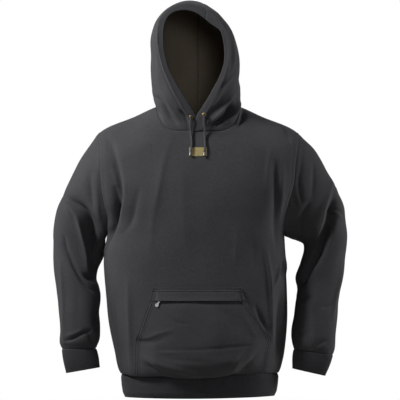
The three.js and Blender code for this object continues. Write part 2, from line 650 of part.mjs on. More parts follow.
// A whole arch: from the neck on the wearer's right over the head to the left.
function arch(along, necks) {
  const halves = necks.map((neck, k) => {
    const side = k === 0 ? -1 : 1;
    const corner = neck.points[0];
    const plain = halfArch(hoodAt(along), onLine(neck.points, along), side);
    const first = halfArch(hoodAt(0), corner, side);
    const edge = faceEdge(side, corner);
    const nearFace = 1 - smooth(along, 0, FACE_EDGE_FADE);
    return plain.map((point, i) => {
      point.addScaledVector(edge[i].sub(first[i]), nearFace);
      const { face, head, headFrom, footShare, crown, temple, napeFrom } = HOOD_SHIFT;
      const shift = lerp(face, head, smooth(along, 0, headFrom)) * smooth(i / ARCH_STEPS, 0, footShare);
      const tilt = crown.x * smooth(point.z, crown.low, crown.high);
      const above = smooth(point.z, temple.ease, temple.high);
      const level = smooth(point.z, temple.low, temple.full) * (1 - above);
      const bulge = temple.x * level * smooth(-point.x, 0, temple.reach);
      point.x += (shift + tilt + bulge) * (1 - smooth(along, napeFrom, 1));
      return point;
    });
  });
  return [...halves[0], ...halves[1].reverse().slice(1)];
}

// Splits an arch at the crown seam and spaces the points evenly on each side of it.
function splitArch(points, seamX) {
  const lengths = [0];
  for (let i = 1; i < points.length; i++) lengths.push(lengths[i - 1] + points[i].distanceTo(points[i - 1]));
  const total = lengths[lengths.length - 1];
  const middle = points.findIndex((p, i) => i > ARCH_STEPS * 0.6 && p.x > seamX);
  const past = (points[middle].x - seamX) / (points[middle].x - points[middle - 1].x);
  const cut = lerp(lengths[middle], lengths[middle - 1], past);
  const at = (length) => {
    let i = 0;
    while (i < points.length - 2 && lengths[i + 1] < length) i++;
    const share = (length - lengths[i]) / (lengths[i + 1] - lengths[i]);
    return points[i].clone().lerp(points[i + 1], THREE.MathUtils.clamp(share, 0, 1));
  };
  const steps = Array.from({ length: HOOD_COLUMNS + 1 }, (_, i) => i / HOOD_COLUMNS);
  return [steps.map((step) => at(cut * step)), steps.map((step) => at(lerp(total, cut, step)))];
}

// The hood's halves: rows are arches and the back of the neckline, columns run up from the neck.
function hoodHalf(k, necks, napes) {
  const side = k === 0 ? -1 : 1;
  const flip = side > 0;
  const grid = HOOD_ROWS.map((along) => {
    const seamX = CROWN_SEAM_X * (1 - smooth(along, 0, 0.8));
    return splitArch(arch(along, necks), seamX)[k];
  });
  const steps = Array.from({ length: HOOD_COLUMNS + 1 }, (_, j) => 1 - j / HOOD_COLUMNS);
  grid.push(steps.map((step) => onLine(napes[k].points, step)));
  const fade = (i, j) => Math.min(j / 2, 1) * Math.min(i / 3, 1);
  const normals = gridNormals(grid, false, flip);
  pressFolds(grid, normals, HOOD_FOLDS, -1, fade);
  grid.slice(0, CASING.rows + 1).forEach((row, i) => {
    const height = i < CASING.rows ? CASING.rise : CASING.groove;
    row.forEach((p, j) => p.addScaledVector(normals[i][j], height * Math.min(j / 2, 1)));
  });
  const corner = grid[0][0].clone();
  grid.flat().forEach((p) => {
    const away = p.distanceTo(corner);
    p.x += side > 0 ? LAP.x * Math.exp(-((away / LAP.xReach) ** 2)) : 0;
    p.y += side > 0 ? LAP.y * Math.exp(-((away / LAP.yReach) ** 2)) : 0;
  });
  return { grid, normals: gridNormals(grid, false, flip) };
}

// The hood's row that stands on a corner of the neckline; the last one is the nape's.
function cornerRow(v) {
  const row = HOOD_ROWS.findIndex((along) => Math.abs(along * NECK_COLUMNS - v) < 1e-6);
  return row < 0 ? HOOD_ROWS.length : row;
}

function hood() {
  const necks = [-1, 1].map((side) => neckline(front, side));
  const napes = [-1, 1].map((side) => neckline(back, side));
  const halves = [0, 1].map((k) => hoodHalf(k, necks, napes));
  const last = HOOD_ROWS.length;
  for (let i = 0; i < last; i++) {
    shareNormal(...halves.map((half) => half.normals[i][HOOD_COLUMNS]));
  }
  shareNormal(...halves.map((half) => half.normals[last][HOOD_COLUMNS]), ...napes[0].meets[0]);
  shareNormal(...halves.map((half) => half.normals[0][0]), ...necks[0].meets[0]);
  halves.forEach(({ grid, normals }, k) => {
    const across = HOOD_COLUMNS / NECK_COLUMNS;
    normals[last][0].copy(normals[last][2]).add(normals[last - 2][0]).normalize();
    for (let v = 1; v <= NECK_COLUMNS; v++) {
      shareNormal(normals[last][HOOD_COLUMNS - v * across], ...napes[k].meets[v]);
      if (v < NECK_COLUMNS) shareNormal(normals[cornerRow(v)][0], ...necks[k].meets[v]);
    }
    HOOD_ROWS.forEach((along, i) => {
      const place = along * NECK_COLUMNS;
      const ends = [Math.floor(place + 1e-6), Math.ceil(place - 1e-6)].map((v) => normals[cornerRow(v)][0]);
      if (ends[0] !== ends[1]) normals[i][0].copy(ends[0]).lerp(ends[1], place % 1).normalize();
    });
    for (let j = 1; j < HOOD_COLUMNS; j += across) {
      normals[last][j].copy(normals[last][j - 1]).add(normals[last][j + 1]).normalize();
    }
    trim(column(grid, 0), column(grid, 1), (i) => (i > cornerRow(NECK_COLUMNS - 2) ? NECK_EASE : 0));
    trim(grid[last], grid[last - 1]);
    trim(column(grid, HOOD_COLUMNS), column(grid, HOOD_COLUMNS - 1));
    add(k === 0 ? "hood_right" : "hood_left", wallGeometry(grid, normals, FLEECE, false), charcoal);
  });
}
hood();

// The front and back panels are closed last, once their seams share their normals.
for (const panel of [front, back]) {
  const { grid, normals } = panel;
  trim(grid[TOP_ROW], grid[TOP_ROW - 1]);
  trim(grid[0], grid[1]);
  trim(column(grid, SIDES[0]), column(grid, SIDES[0] + 1));
  trim(column(grid, SIDES[1]), column(grid, SIDES[1] - 1));
  const name = panel === front ? "front_panel" : "back_panel";
  add(name, wallGeometry(grid, normals, FLEECE, false), charcoal);
}

// The place where a straight line from the front meets the named pieces.
const ray = new THREE.Raycaster();
function faceAt(names, x, z) {
  const pieces = names.map((name) => hoodie.getObjectByName(name));
  ray.set(vec(x, -1000, z), vec(0, 1, 0));
  const [hit] = ray.intersectObjects(pieces, false);
  if (!hit) throw new Error(`${names} have no face at ${x}, ${z}`);
  return hit;
}

// A wall that lies on other pieces. outline gives a place of the front view and the height over
// what lies under it, from the lower edge up and from the wearer's right to left.
function overlay(name, material, size, under, outline) {
  const grid = [];
  for (let i = 0; i <= size.rows; i++) {
    const row = [];
    for (let j = 0; j <= size.columns; j++) {
      const { x, z, height } = outline(i / size.rows, j / size.columns);
      const seat = outline(THREE.MathUtils.clamp(i / size.rows, 0.02, 0.98), j / size.columns);
      row.push(vec(x, faceAt(under, x, seat.z).point.y - height - size.thick, z));
    }
    grid.push(row);
  }
  for (let pass = 0; pass < 2; pass++) raiseClear(grid, under, size.thick);
  const straight = grid.map((row) => row.map(() => vec(0, -1, 0)));
  const mesh = add(name, wallGeometry(grid, straight, size.thick, false), material);
  mesh.updateMatrixWorld();
}

// Raises the corners of each face that comes nearer than a seam's gap to what lies under it.
function raiseClear(grid, under, thick) {
  const shares = [0.02, 0.2, 0.4, 0.6, 0.8, 0.98];
  const raise = grid.map((row) => row.map(() => 0));
  for (let i = 0; i < grid.length - 1; i++) {
    for (let j = 0; j < grid[0].length - 1; j++) {
      const corners = [[i, j], [i, j + 1], [i + 1, j + 1], [i + 1, j]];
      const [a, b, c, d] = corners.map(([row, place]) => grid[row][place]);
      let need = 0;
      for (const s of shares) {
        for (const t of shares) {
          const low = s > t;
          const p = low
            ? a.clone().multiplyScalar(1 - s).addScaledVector(b, s - t).addScaledVector(c, t)
            : a.clone().multiplyScalar(1 - t).addScaledVector(d, t - s).addScaledVector(c, s);
          ray.set(vec(p.x, -1000, p.z), vec(0, 1, 0));
          const [hit] = ray.intersectObjects(under.map((name) => hoodie.getObjectByName(name)), false);
          if (hit) need = Math.max(need, p.y + thick + CLEARANCE - hit.point.y);
        }
      }
      for (const [row, place] of corners) raise[row][place] = Math.max(raise[row][place], need);
    }
  }
  grid.forEach((row, i) => row.forEach((p, j) => (p.y -= raise[i][j])));
}

// Kangaroo pocket: sewn down at its top, bottom and lower sides, open at the slanted sides
const pocketTop = POCKET[POCKET.length - 1].z;
overlay("pocket", charcoal, POCKET_WALL, ["front_panel"], (up, across) => {
  const z = lerp(POCKET[0].z, pocketTop, up);
  const reach = pocketAt(z);
  const side = Math.min(across, 1 - across);
  const foot = smooth(z, POCKET[0].z, POCKET[0].z + POUCH.footHeight);
  const head = 1 - smooth(z, FLAP.low - POUCH.headBelow, FLAP.low + POUCH.headAbove);
  const sewn = smooth(side, 0, POUCH.sewnWidth);
  const open = lerp(POUCH.mouthShare, 1, smooth(side, 0, POUCH.mouthWidth));
  const mouth = smooth(z, POUCH.mouthLow - POUCH.mouthBelow, POUCH.mouthLow + POUCH.mouthAbove);
  const droop = lerp(1, POUCH.topShare, smooth(z, POUCH.topFrom, FLAP.low));
  const stand = POUCH.stand * foot * head * lerp(sewn, open, mouth) * droop;
  return { x: lerp(-reach.right, reach.left, across), z, height: SEAM + stand };
});

// Flap over the pocket's zip: sewn down along its top, its lower edge hangs free
overlay("pocket_flap", charcoal, FLAP, ["pocket"], (up, across) => {
  const z = lerp(FLAP.low, pocketTop, up);
  const reach = pocketAt(z);
  const x = lerp(FLAP.inset - reach.right, reach.left - FLAP.inset, across);
  return { x, z, height: lerp(FLAP.stand, SEAM, up) };
});

// Label on the chest
overlay("label", woven, LABEL, ["front_panel"], (up, across) => ({
  x: LABEL.width * (across - 0.5),
  z: LABEL.z + LABEL.height * (up - 0.5),
  height: SEAM,
}));

// Eyelets on the casing: a pressed ring, turned about the cloth's normal
const CHEST = ["hood_right", "hood_left", "front_panel", "label"];
function eyelet(name, { x, z }) {
  const { inner, outer, high } = EYELET;
  const corner = ([width, height]) => new THREE.Vector2(lerp(inner, outer, width), height * high);
  const outline = EYELET_SECTION.map(corner);
  const mesh = add(name, closedShape(new THREE.LatheGeometry(outline, EYELET.sides)), brass);
  const seat = faceAt(CHEST, x, z);
  mesh.quaternion.setFromUnitVectors(vec(0, 1, 0), seat.face.normal);
  mesh.position.copy(seat.point).addScaledVector(seat.face.normal, EYELET.stand);
}

// A free end of the drawcord: it leaves its eyelet and hangs down the chest to its metal tip.
function drawcord(side, hole, path) {
  const radius = CORD.width / 2;
  const seat = faceAt(CHEST, hole.x, hole.z);
  const out = seat.face.normal;
  const places = [CORD.start, CORD.turn].map((length) => seat.point.clone().addScaledVector(out, length));
  for (const { x, z, off } of path) {
    const edges = [[0, 0], [-radius, 0], [radius, 0], [0, -radius], [0, radius]];
    const near = edges.map(([dx, dz]) => faceAt(CHEST, x + dx, z + dz).point.y);
    places.push(vec(x, Math.min(...near) - radius - off, z));
  }
  const route = new THREE.CatmullRomCurve3(places, false, "centripetal");
  const section = new THREE.Shape();
  for (let i = 0; i < CORD.sides; i++) {
    const angle = (i / CORD.sides) * 2 * Math.PI;
    const corner = [radius * Math.cos(angle), radius * Math.sin(angle)];
    if (i === 0) section.moveTo(...corner);
    else section.lineTo(...corner);
  }
  const tube = new THREE.ExtrudeGeometry(section, { steps: CORD.steps, extrudePath: route });
  add(`drawcord_${side}`, closedShape(tube), braid);
  const tip = closedShape(new THREE.CylinderGeometry(TIP.width / 2, TIP.width / 2, TIP.length, TIP.sides));
  const mesh = add(`cord_tip_${side}`, tip, steel);
  mesh.quaternion.setFromUnitVectors(vec(0, 1, 0), route.getTangent(1));
  mesh.position.copy(route.getPoint(1)).addScaledVector(route.getTangent(1), TIP.length / 2 + SEAM);
}
eyelet("eyelet_right", EYELET_RIGHT);
eyelet("eyelet_left", EYELET_LEFT);
drawcord("right", EYELET_RIGHT, CORD_RIGHT);
drawcord("left", EYELET_LEFT, CORD_LEFT);

// Joins closed geometries into one closed geometry.
const wasm = await Module();
wasm.setup();
function joined(...geometries) {
  const [first, ...rest] = geometries.map((geometry) => {
    const shape = closedShape(geometry);
    return new wasm.Manifold(
      new wasm.Mesh({
        numProp: 3,
        vertProperties: shape.attributes.position.array,
        triVerts: new Uint32Array(shape.index.array),
      }),
    );
  });
  const whole = rest.reduce((sum, piece) => sum.add(piece), first).getMesh();
  const geometry = new THREE.BufferGeometry();
  geometry.setAttribute("position", new THREE.Float32BufferAttribute(whole.vertProperties, 3));
  geometry.setIndex([...whole.triVerts]);
  return facingOut(geometry);
}

// A plate of an outline in the front view, centred on y = 0
function plate(corners, thick, hole) {
  const shape = new THREE.Shape(corners.map(([x, z]) => new THREE.Vector2(x, z)));
  if (hole) shape.holes.push(new THREE.Path(hole.map(([x, z]) => new THREE.Vector2(x, z))));
  const geometry = new THREE.ExtrudeGeometry(shape, { depth: thick, bevelEnabled: false });
  return geometry.translate(0, 0, -thick / 2).rotateX(Math.PI / 2);
}
const rectangle = (x0, x1, z0, z1) => [[x0, z0], [x1, z0], [x1, z1], [x0, z1]];

// Zip slider under the flap, with the bar that its pull tab swings on
const pocketFace = faceAt(["pocket"], PULL.x, PULL.z);
const flat = new THREE.Quaternion().setFromUnitVectors(vec(0, -1, 0), pocketFace.face.normal);
const pivot = pocketFace.point.clone().addScaledVector(pocketFace.face.normal, PULL.stand);
const lean = THREE.MathUtils.degToRad(PULL.lean);
const bar = PULL.bar / 2;
const arm = PULL.neck / 2 + PULL.play;
const frame = plate(
  rectangle(-arm - SLIDER.rail, arm + SLIDER.rail, -bar, SLIDER.reach),
  PULL.bar,
  rectangle(-arm, arm, bar, SLIDER.reach - SLIDER.cross),
).rotateY(lean);
const body = new THREE.BoxGeometry(SLIDER.length, SLIDER.thick, SLIDER.height);
const bodyY = PULL.stand - SEAM - SLIDER.thick / 2;
body.translate(0, bodyY, SLIDER.rise + SLIDER.height / 2);
const slider = add("zip_slider", joined(body, frame), steel);
slider.quaternion.copy(flat);
slider.position.copy(pivot);

// Pull tab: an eye around the bar, a narrow neck and a wider head
const eye = new THREE.Shape().absarc(0, 0, PULL.eye + PULL.rim, 0, 2 * Math.PI);
eye.holes.push(new THREE.Path().absarc(0, 0, PULL.eye, 0, 2 * Math.PI));
const eyeRing = new THREE.ExtrudeGeometry(eye, { depth: PULL.neck, bevelEnabled: false, curveSegments: 8 });
eyeRing.translate(0, 0, -PULL.neck / 2).rotateY(Math.PI / 2);
const half = PULL.neck / 2;
const wide = PULL.head / 2;
const end = -PULL.length;
const tab = plate(
  [
    [half, -PULL.eye - 0.2],
    [half, end * PULL.neckEnd],
    [wide, end * PULL.headStart],
    [wide, end * PULL.headEnd],
    [wide / 2, end],
    [-wide / 2, end],
    [-wide, end * PULL.headEnd],
    [-wide, end * PULL.headStart],
    [-half, end * PULL.neckEnd],
    [-half, -PULL.eye - 0.2],
  ],
  PULL.thick,
);
const pull = add("zip_pull", joined(eyeRing, tab), steel);
pull.quaternion.copy(flat).multiply(new THREE.Quaternion().setFromAxisAngle(vec(0, 1, 0), lean));
pull.position.copy(pivot);

export default hoodie;
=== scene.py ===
"""Pullover hoodie in charcoal fleece, filled out as worn, with its hood up.

The sizes in the tables are millimetres. Every mesh is made in metres in the frame's own
axes: +Z is up, the front faces -Y and the wearer's left is +X. Each cut piece of cloth is
a grid of points on the same sections as its solid, finer and with its creases pressed in.
"""

from __future__ import annotations

import logging
import math
from dataclasses import dataclass, field
from enum import Enum
from typing import Sequence

import bpy
import numpy as np
from mathutils import Matrix, Vector
from mathutils.bvhtree import BVHTree

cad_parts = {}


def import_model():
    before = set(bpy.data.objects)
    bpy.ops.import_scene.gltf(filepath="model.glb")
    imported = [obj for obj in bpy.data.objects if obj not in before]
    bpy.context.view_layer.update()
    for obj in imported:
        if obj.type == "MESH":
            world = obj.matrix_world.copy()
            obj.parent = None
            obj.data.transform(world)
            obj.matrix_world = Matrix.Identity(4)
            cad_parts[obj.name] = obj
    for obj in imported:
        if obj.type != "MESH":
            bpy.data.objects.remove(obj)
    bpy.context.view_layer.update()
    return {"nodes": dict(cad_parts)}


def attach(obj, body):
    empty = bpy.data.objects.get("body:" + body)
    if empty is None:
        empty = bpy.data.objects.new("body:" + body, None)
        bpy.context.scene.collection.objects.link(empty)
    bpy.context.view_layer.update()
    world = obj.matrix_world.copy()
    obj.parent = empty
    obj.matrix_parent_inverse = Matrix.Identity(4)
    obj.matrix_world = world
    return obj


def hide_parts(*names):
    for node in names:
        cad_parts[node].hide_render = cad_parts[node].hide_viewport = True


LOG = logging.getLogger("hoodie")
MM = 0.001
Array = np.ndarray


# Reading of tables and curves ---------------------------------------------------------


def smooth(value: Array | float, low: float, high: float) -> Array:
    """A soft step from 0 at low to 1 at high."""
    share = np.clip((np.asarray(value, float) - low) / (high - low), 0, 1)
    return share * share * (3 - 2 * share)


def lerp(a: Array | float, b: Array | float, share: Array | float) -> Array:
    """The value a share of the way from a to b."""
    return a + (b - a) * share


def unit(vectors: Array) -> Array:
    """The vectors of the last axis, made one long."""
    return vectors / np.maximum(np.linalg.norm(vectors, axis=-1, keepdims=True), 1e-12)


@dataclass(frozen=True)
class Table:
    """Rows of sizes that are read smoothly between them by their first column."""

    columns: tuple[str, ...]
    rows: tuple[tuple[float, ...], ...]

    def at(self, value: Array | float) -> dict[str, Array]:
        """Reads every other column.

        Args:
            value: places in the first column's unit.

        Returns:
            The named columns, each with the shape of value.
        """
        rows = np.asarray(self.rows, float)
        keys = rows[:, 0]
        value = np.asarray(value, float)
        i = np.clip(np.searchsorted(keys, value, side="left") - 1, 0, len(keys) - 2)
        span = keys[i + 1] - keys[i]
        t = np.clip((value - keys[i]) / span, 0, 1)
        before = np.maximum(np.arange(len(keys)) - 1, 0)
        after = np.minimum(np.arange(len(keys)) + 1, len(keys) - 1)
        found = {}
        for k, name in enumerate(self.columns[1:], 1):
            slopes = (rows[after, k] - rows[before, k]) / (keys[after] - keys[before])
            blend = 3 * t**2 - 2 * t**3
            leave = slopes[i] * span * (t**3 - 2 * t**2 + t)
            arrive = slopes[i + 1] * span * (t**3 - t**2)
            found[name] = lerp(rows[i, k], rows[i + 1, k], blend) + leave + arrive
        return found


def spline(points: Array, places: Array) -> Array:
    """A smooth curve through points, spaced by the root of their distances.

    Args:
        points: the points, first axis along the curve.
        places: shares of the number of spans, from 0 to 1.

    Returns:
        One point, or set of points, for each place.
    """
    count = len(points)
    ends = [2 * points[0] - points[1], *points, 2 * points[-1] - points[-2]]
    line = np.stack(ends)
    found = []
    for place in np.atleast_1d(places):
        at = min(max(place, 0.0), 1.0) * (count - 1)
        i = min(int(at), count - 2)
        t = at - i
        p0, p1, p2, p3 = line[i : i + 4]
        gaps = [np.sqrt(np.linalg.norm(b - a, axis=-1, keepdims=True)) for a, b in ((p0, p1), (p1, p2), (p2, p3))]
        d0, d1, d2 = [np.where(gap < 1e-2, 1.0, gap) for gap in gaps]
        leave = ((p1 - p0) / d0 - (p2 - p0) / (d0 + d1) + (p2 - p1) / d1) * d1
        arrive = ((p2 - p1) / d1 - (p3 - p1) / (d1 + d2) + (p3 - p2) / d2) * d1
        square = -3 * p1 + 3 * p2 - 2 * leave - arrive
        cube = 2 * p1 - 2 * p2 + leave + arrive
        found.append(p1 + leave * t + square * t**2 + cube * t**3)
    return np.stack(found)


def spaced(points: Array, shares: Array) -> Array:
    """Points at equal shares of a line's length."""
    lengths = np.concatenate([[0], np.cumsum(np.linalg.norm(np.diff(points, axis=0), axis=1))])
    targets = np.asarray(shares) * lengths[-1]
    return np.stack([np.interp(targets, lengths, points[:, axis]) for axis in range(3)], axis=1)


def bezier(corners: Sequence[Array], steps: int) -> Array:
    """Points on a cubic curve."""
    t = np.linspace(0, 1, steps)[:, None]
    a, b, c, d = corners
    return (1 - t) ** 3 * a + 3 * (1 - t) ** 2 * t * b + 3 * (1 - t) * t**2 * c + t**3 * d


def grid_normals(grid: Array, closed: bool, flip: bool) -> Array:
    """Outward normals of a grid of points whose rows may close on themselves."""
    if closed:
        across = np.roll(grid, -1, axis=1) - np.roll(grid, 1, axis=1)
    else:
        across = np.gradient(grid, axis=1)
    normals = unit(np.cross(across, np.gradient(grid, axis=0)))
    return -normals if flip else normals


def run_along(grid: Array, axis: int) -> Array:
    """The length run from the first line of a grid, at each of its points."""
    steps = np.linalg.norm(np.diff(grid, axis=axis), axis=2)
    first = np.zeros_like(np.take(steps, [0], axis=axis))
    return np.concatenate([first, np.cumsum(steps, axis=axis)], axis=axis)


def ripple(grid: Array, scale: float, seed: int) -> Array:
    """A soft unevenness between -1 and 1 that changes over about scale millimetres."""
    rng = np.random.default_rng(seed)
    total = np.zeros(grid.shape[:2])
    for _ in range(7):
        wave = rng.normal(size=3)
        wave *= 2 * math.pi / (scale * rng.uniform(0.7, 1.8)) / np.linalg.norm(wave)
        total += np.sin(grid @ wave + rng.uniform(0, 2 * math.pi))
    return total / 3.5


# Sizes that the pieces share ----------------------------------------------------------

FLEECE = 2.2
RIB = 2.6
NECK_HALF = 108.0
SHOULDER_TIP = 259.0
HEM_SEAM_Z = -668.0
UNDERARM_Z = -318.0
SQUARE = 2.4
SIDE_SEAM_Y = -8.0
ARMHOLE_MIDDLE_Z = 185.0

TORSO = Table(
    ("z", "right", "left", "front", "back", "edge_front", "edge_back"),
    (
        (-668, 195, 204, 122, 112, 0, 0),
        (-648, 206, 213, 137, 123, 0, 0),
        (-612, 215, 222, 142, 126, 0, 0),
        (-538, 230, 229, 141, 121, 0, 0),
        (-471, 236, 229, 137, 115, 0, 0),
        (-400, 242, 226, 134, 113, 0, 0),
        (-355, 242, 224, 133, 115, 0, 0),
        (-318, 234, 222, 133, 117, 0, 0),
        (-298, 232, 220, 133, 119, 30, 32),
        (-270, 231, 221, 132, 121, 47, 52),
        (-235, 240, 230, 131, 124, 57, 64),
        (-185, 248, 244, 127, 126, 61, 70),
        (-130, 250, 249, 117, 124, 58, 66),
        (-88, 252, 255, 106, 117, 52, 58),
        (-55, 258, 260, 95, 108, 46, 50),
        (20, 262, 264, 84, 92, 40, 42),
    ),
)
SHOULDER = Table(
    ("x", "z"),
    ((0, 34), (60, 28), (108, 14), (165, -12), (220, -33), (245, -46), (262, -60)),
)


class Face(Enum):
    """The side of the body that a panel covers; its value is the sign of Y."""

    FRONT = -1
    BACK = 1


class Wearer(Enum):
    """The wearer's side that a piece is on; its value is the sign of X."""

    RIGHT = -1
    LEFT = 1


@dataclass(frozen=True)
class Fold:
    """A crease or ridge drawn as it is seen from the front or the back.

    depth is the height of a ridge, or less than zero for a trough. width is its reach to
    each side, and skew above zero makes the side to the right of its path the steep one.
    """

    path: tuple[tuple[float, float], ...]
    depth: float
    width: float
    skew: float = 0.0

    def height(self, x: Array, z: Array) -> Array:
        """The height that the fold adds at places of that view.

        Args:
            x: places across, in millimetres.
            z: places up, in millimetres.

        Returns:
            Heights along the surface's normal, in millimetres.
        """
        knots = np.array([(px, 0.0, pz) for px, pz in self.path])
        line = spline(knots, np.linspace(0, 1, 40))[:, [0, 2]]
        shape = x.shape
        places = np.stack([x.ravel(), z.ravel()], axis=1)
        best = np.full(len(places), np.inf)
        share = np.zeros(len(places))
        turn = np.ones(len(places))
        for i in range(len(line) - 1):
            a, b = line[i], line[i + 1]
            along = b - a
            t = np.clip(((places - a) @ along) / (along @ along), 0, 1)
            off = places - (a + t[:, None] * along)
            away = np.hypot(off[:, 0], off[:, 1])
            near = away < best
            best = np.where(near, away, best)
            share = np.where(near, (i + t) / (len(line) - 1), share)
            side = np.sign(along[0] * off[:, 1] - along[1] * off[:, 0])
            turn = np.where(near, side, turn)
        reach = self.width * (1 - self.skew * turn)
        ends = np.sin(np.pi * lerp(0.06, 0.94, share)) ** 0.8
        crest = 0.6 * np.exp(-((best / reach) ** 2)) + 0.4 * np.exp(-((best / reach / 0.42) ** 2))
        return (1.25 * self.depth * ends * crest).reshape(shape)


def press(grid: Array, normals: Array, folds: Sequence[Fold], face: Face, fade: Array | float) -> Array:
    """Presses folds into the part of a grid that faces one way.

    Args:
        grid: the points, in millimetres.
        normals: their outward normals.
        folds: the folds, drawn in the front view.
        face: the way that the creased part faces.
        fade: share of each fold's height that is kept at each point.

    Returns:
        The moved points.
    """
    facing = smooth(face.value * normals[..., 1], -0.35, 0.25)
    height = sum((fold.height(grid[..., 0], grid[..., 2]) for fold in folds), np.zeros(grid.shape[:2]))
    return grid + normals * (height * facing * fade)[..., None]


def seam_dip(distance: Array, depth: float = 1.5, reach: float = 2.6) -> Array:
    """How far cloth sinks towards a seam, by the distance from it in millimetres."""
    return -depth * np.exp(-((distance / reach) ** 2))


def stitch_dip(distance: Array, lines: Sequence[float], depth: float = 0.45) -> Array:
    """How far cloth is drawn in along lines of stitches that run beside an edge."""
    total = np.zeros_like(distance)
    for line in lines:
        total -= depth * np.exp(-(((distance - line) / 1.3) ** 2))
    return total


class Seam(Enum):
    """The seams whose pieces turn in along one shared direction."""

    SIDE = "side"
    ARMHOLE = "armhole"
    SHOULDER = "shoulder"
    NECK = "neck"


def outward(seam: Seam, points: Array) -> Array:
    """The way out of the garment along a seam, shared by the pieces that meet in it.

    Args:
        seam: the seam.
        points: places on it, in millimetres.

    Returns:
        Unit vectors.
    """
    out = np.zeros_like(points)
    side = np.sign(points[..., 0])
    if seam is Seam.SIDE:
        out[..., 0] = side
    elif seam is Seam.SHOULDER:
        out[..., 2] = 1
    elif seam is Seam.ARMHOLE:
        out[..., 1] = points[..., 1]
        out[..., 2] = points[..., 2] + ARMHOLE_MIDDLE_Z
        out = unit(out)
        out[..., 0] = side * 0.35
    else:
        out[..., 0] = points[..., 0]
        out[..., 1] = points[..., 1] - SIDE_SEAM_Y
        out = unit(out)
        out[..., 2] = lerp(0.3, 1.0, np.minimum(np.abs(points[..., 0]) / NECK_HALF, 1))
    return unit(out)


def allowance(edge: Array, out: Array, deep: float = 5.0) -> Array:
    """The line of a seam allowance that is turned in from an edge."""
    return edge - out * deep


def line_beside(grid: Array, axis: int, distance: float, far: bool = False) -> Array:
    """The line of points at a distance from an edge of a grid, measured along the grid.

    Args:
        grid: the points.
        axis: 0 for the first row's edge, 1 for the first column's.
        distance: millimetres from the edge.
        far: measures from the last row or column instead.

    Returns:
        The line's points.
    """
    lines = np.moveaxis(grid, axis, 0)
    lines = lines[::-1] if far else lines
    lengths = run_along(lines, 0)
    found = np.empty((lines.shape[1], 3))
    for j in range(lines.shape[1]):
        for k in range(3):
            found[j, k] = np.interp(distance, lengths[:, j], lines[:, j, k])
    return found


def clustered(count: int, near_start: Sequence[float] = (), near_end: Sequence[float] = ()) -> Array:
    """Shares from 0 to 1, with extra ones close to the ends.

    Args:
        count: number of even spans.
        near_start: extra shares after 0.
        near_end: extra shares before 1, counted back from it.

    Returns:
        The sorted shares.
    """
    low = max(near_start, default=0.0)
    high = 1 - max(near_end, default=0.0)
    even = np.linspace(low, high, count + 1)
    extra = [0.0, *near_start, *(1 - share for share in near_end), 1.0]
    return np.unique(np.round(np.concatenate([even, extra]), 6))


# Finishes -----------------------------------------------------------------------------


def linear(code: str) -> tuple[float, float, float, float]:
    """An sRGB hex colour as the linear colour that the shaders take."""
    values = [int(code[i : i + 2], 16) / 255 for i in (0, 2, 4)]
    return (*(v / 12.92 if v <= 0.04045 else ((v + 0.055) / 1.055) ** 2.4 for v in values), 1.0)


@dataclass
class Nodes:
    """A new material's node tree."""

    name: str
    material: bpy.types.Material = field(init=False)

    def __post_init__(self) -> None:
        """Makes the material with its shader."""
        self.material = bpy.data.materials.new(self.name)
        self.material.use_nodes = True
        self.tree = self.material.node_tree
        self.shader = self.tree.nodes["Principled BSDF"]

    def add(self, kind: str, settings: dict | None = None, **links) -> bpy.types.Node:
        """Adds a node with its settings and links.

        Args:
            kind: the node's type.
            settings: attributes of the node, or values of its inputs by name or number.
            links: sockets to link to inputs; in_2 names the third input.

        Returns:
            The node.
        """
        node = self.tree.nodes.new(kind)
        for key, value in (settings or {}).items():
            if isinstance(key, str) and hasattr(node, key):
                setattr(node, key, value)
            else:
                node.inputs[key].default_value = value
        for key, socket in links.items():
            place = int(key[3:]) if key.startswith("in_") else key.replace("_", " ")
            self.tree.links.new(socket, node.inputs[place])
        return node

    def link(self, socket: bpy.types.NodeSocket, name: str) -> None:
        """Links a socket to the shader."""
        self.tree.links.new(socket, self.shader.inputs[name])

    def plain(self, **values) -> None:
        """Sets values that are the same all over on the shader's own sockets."""
        for name, value in values.items():
            self.shader.inputs[name.replace("_", " ")].default_value = value


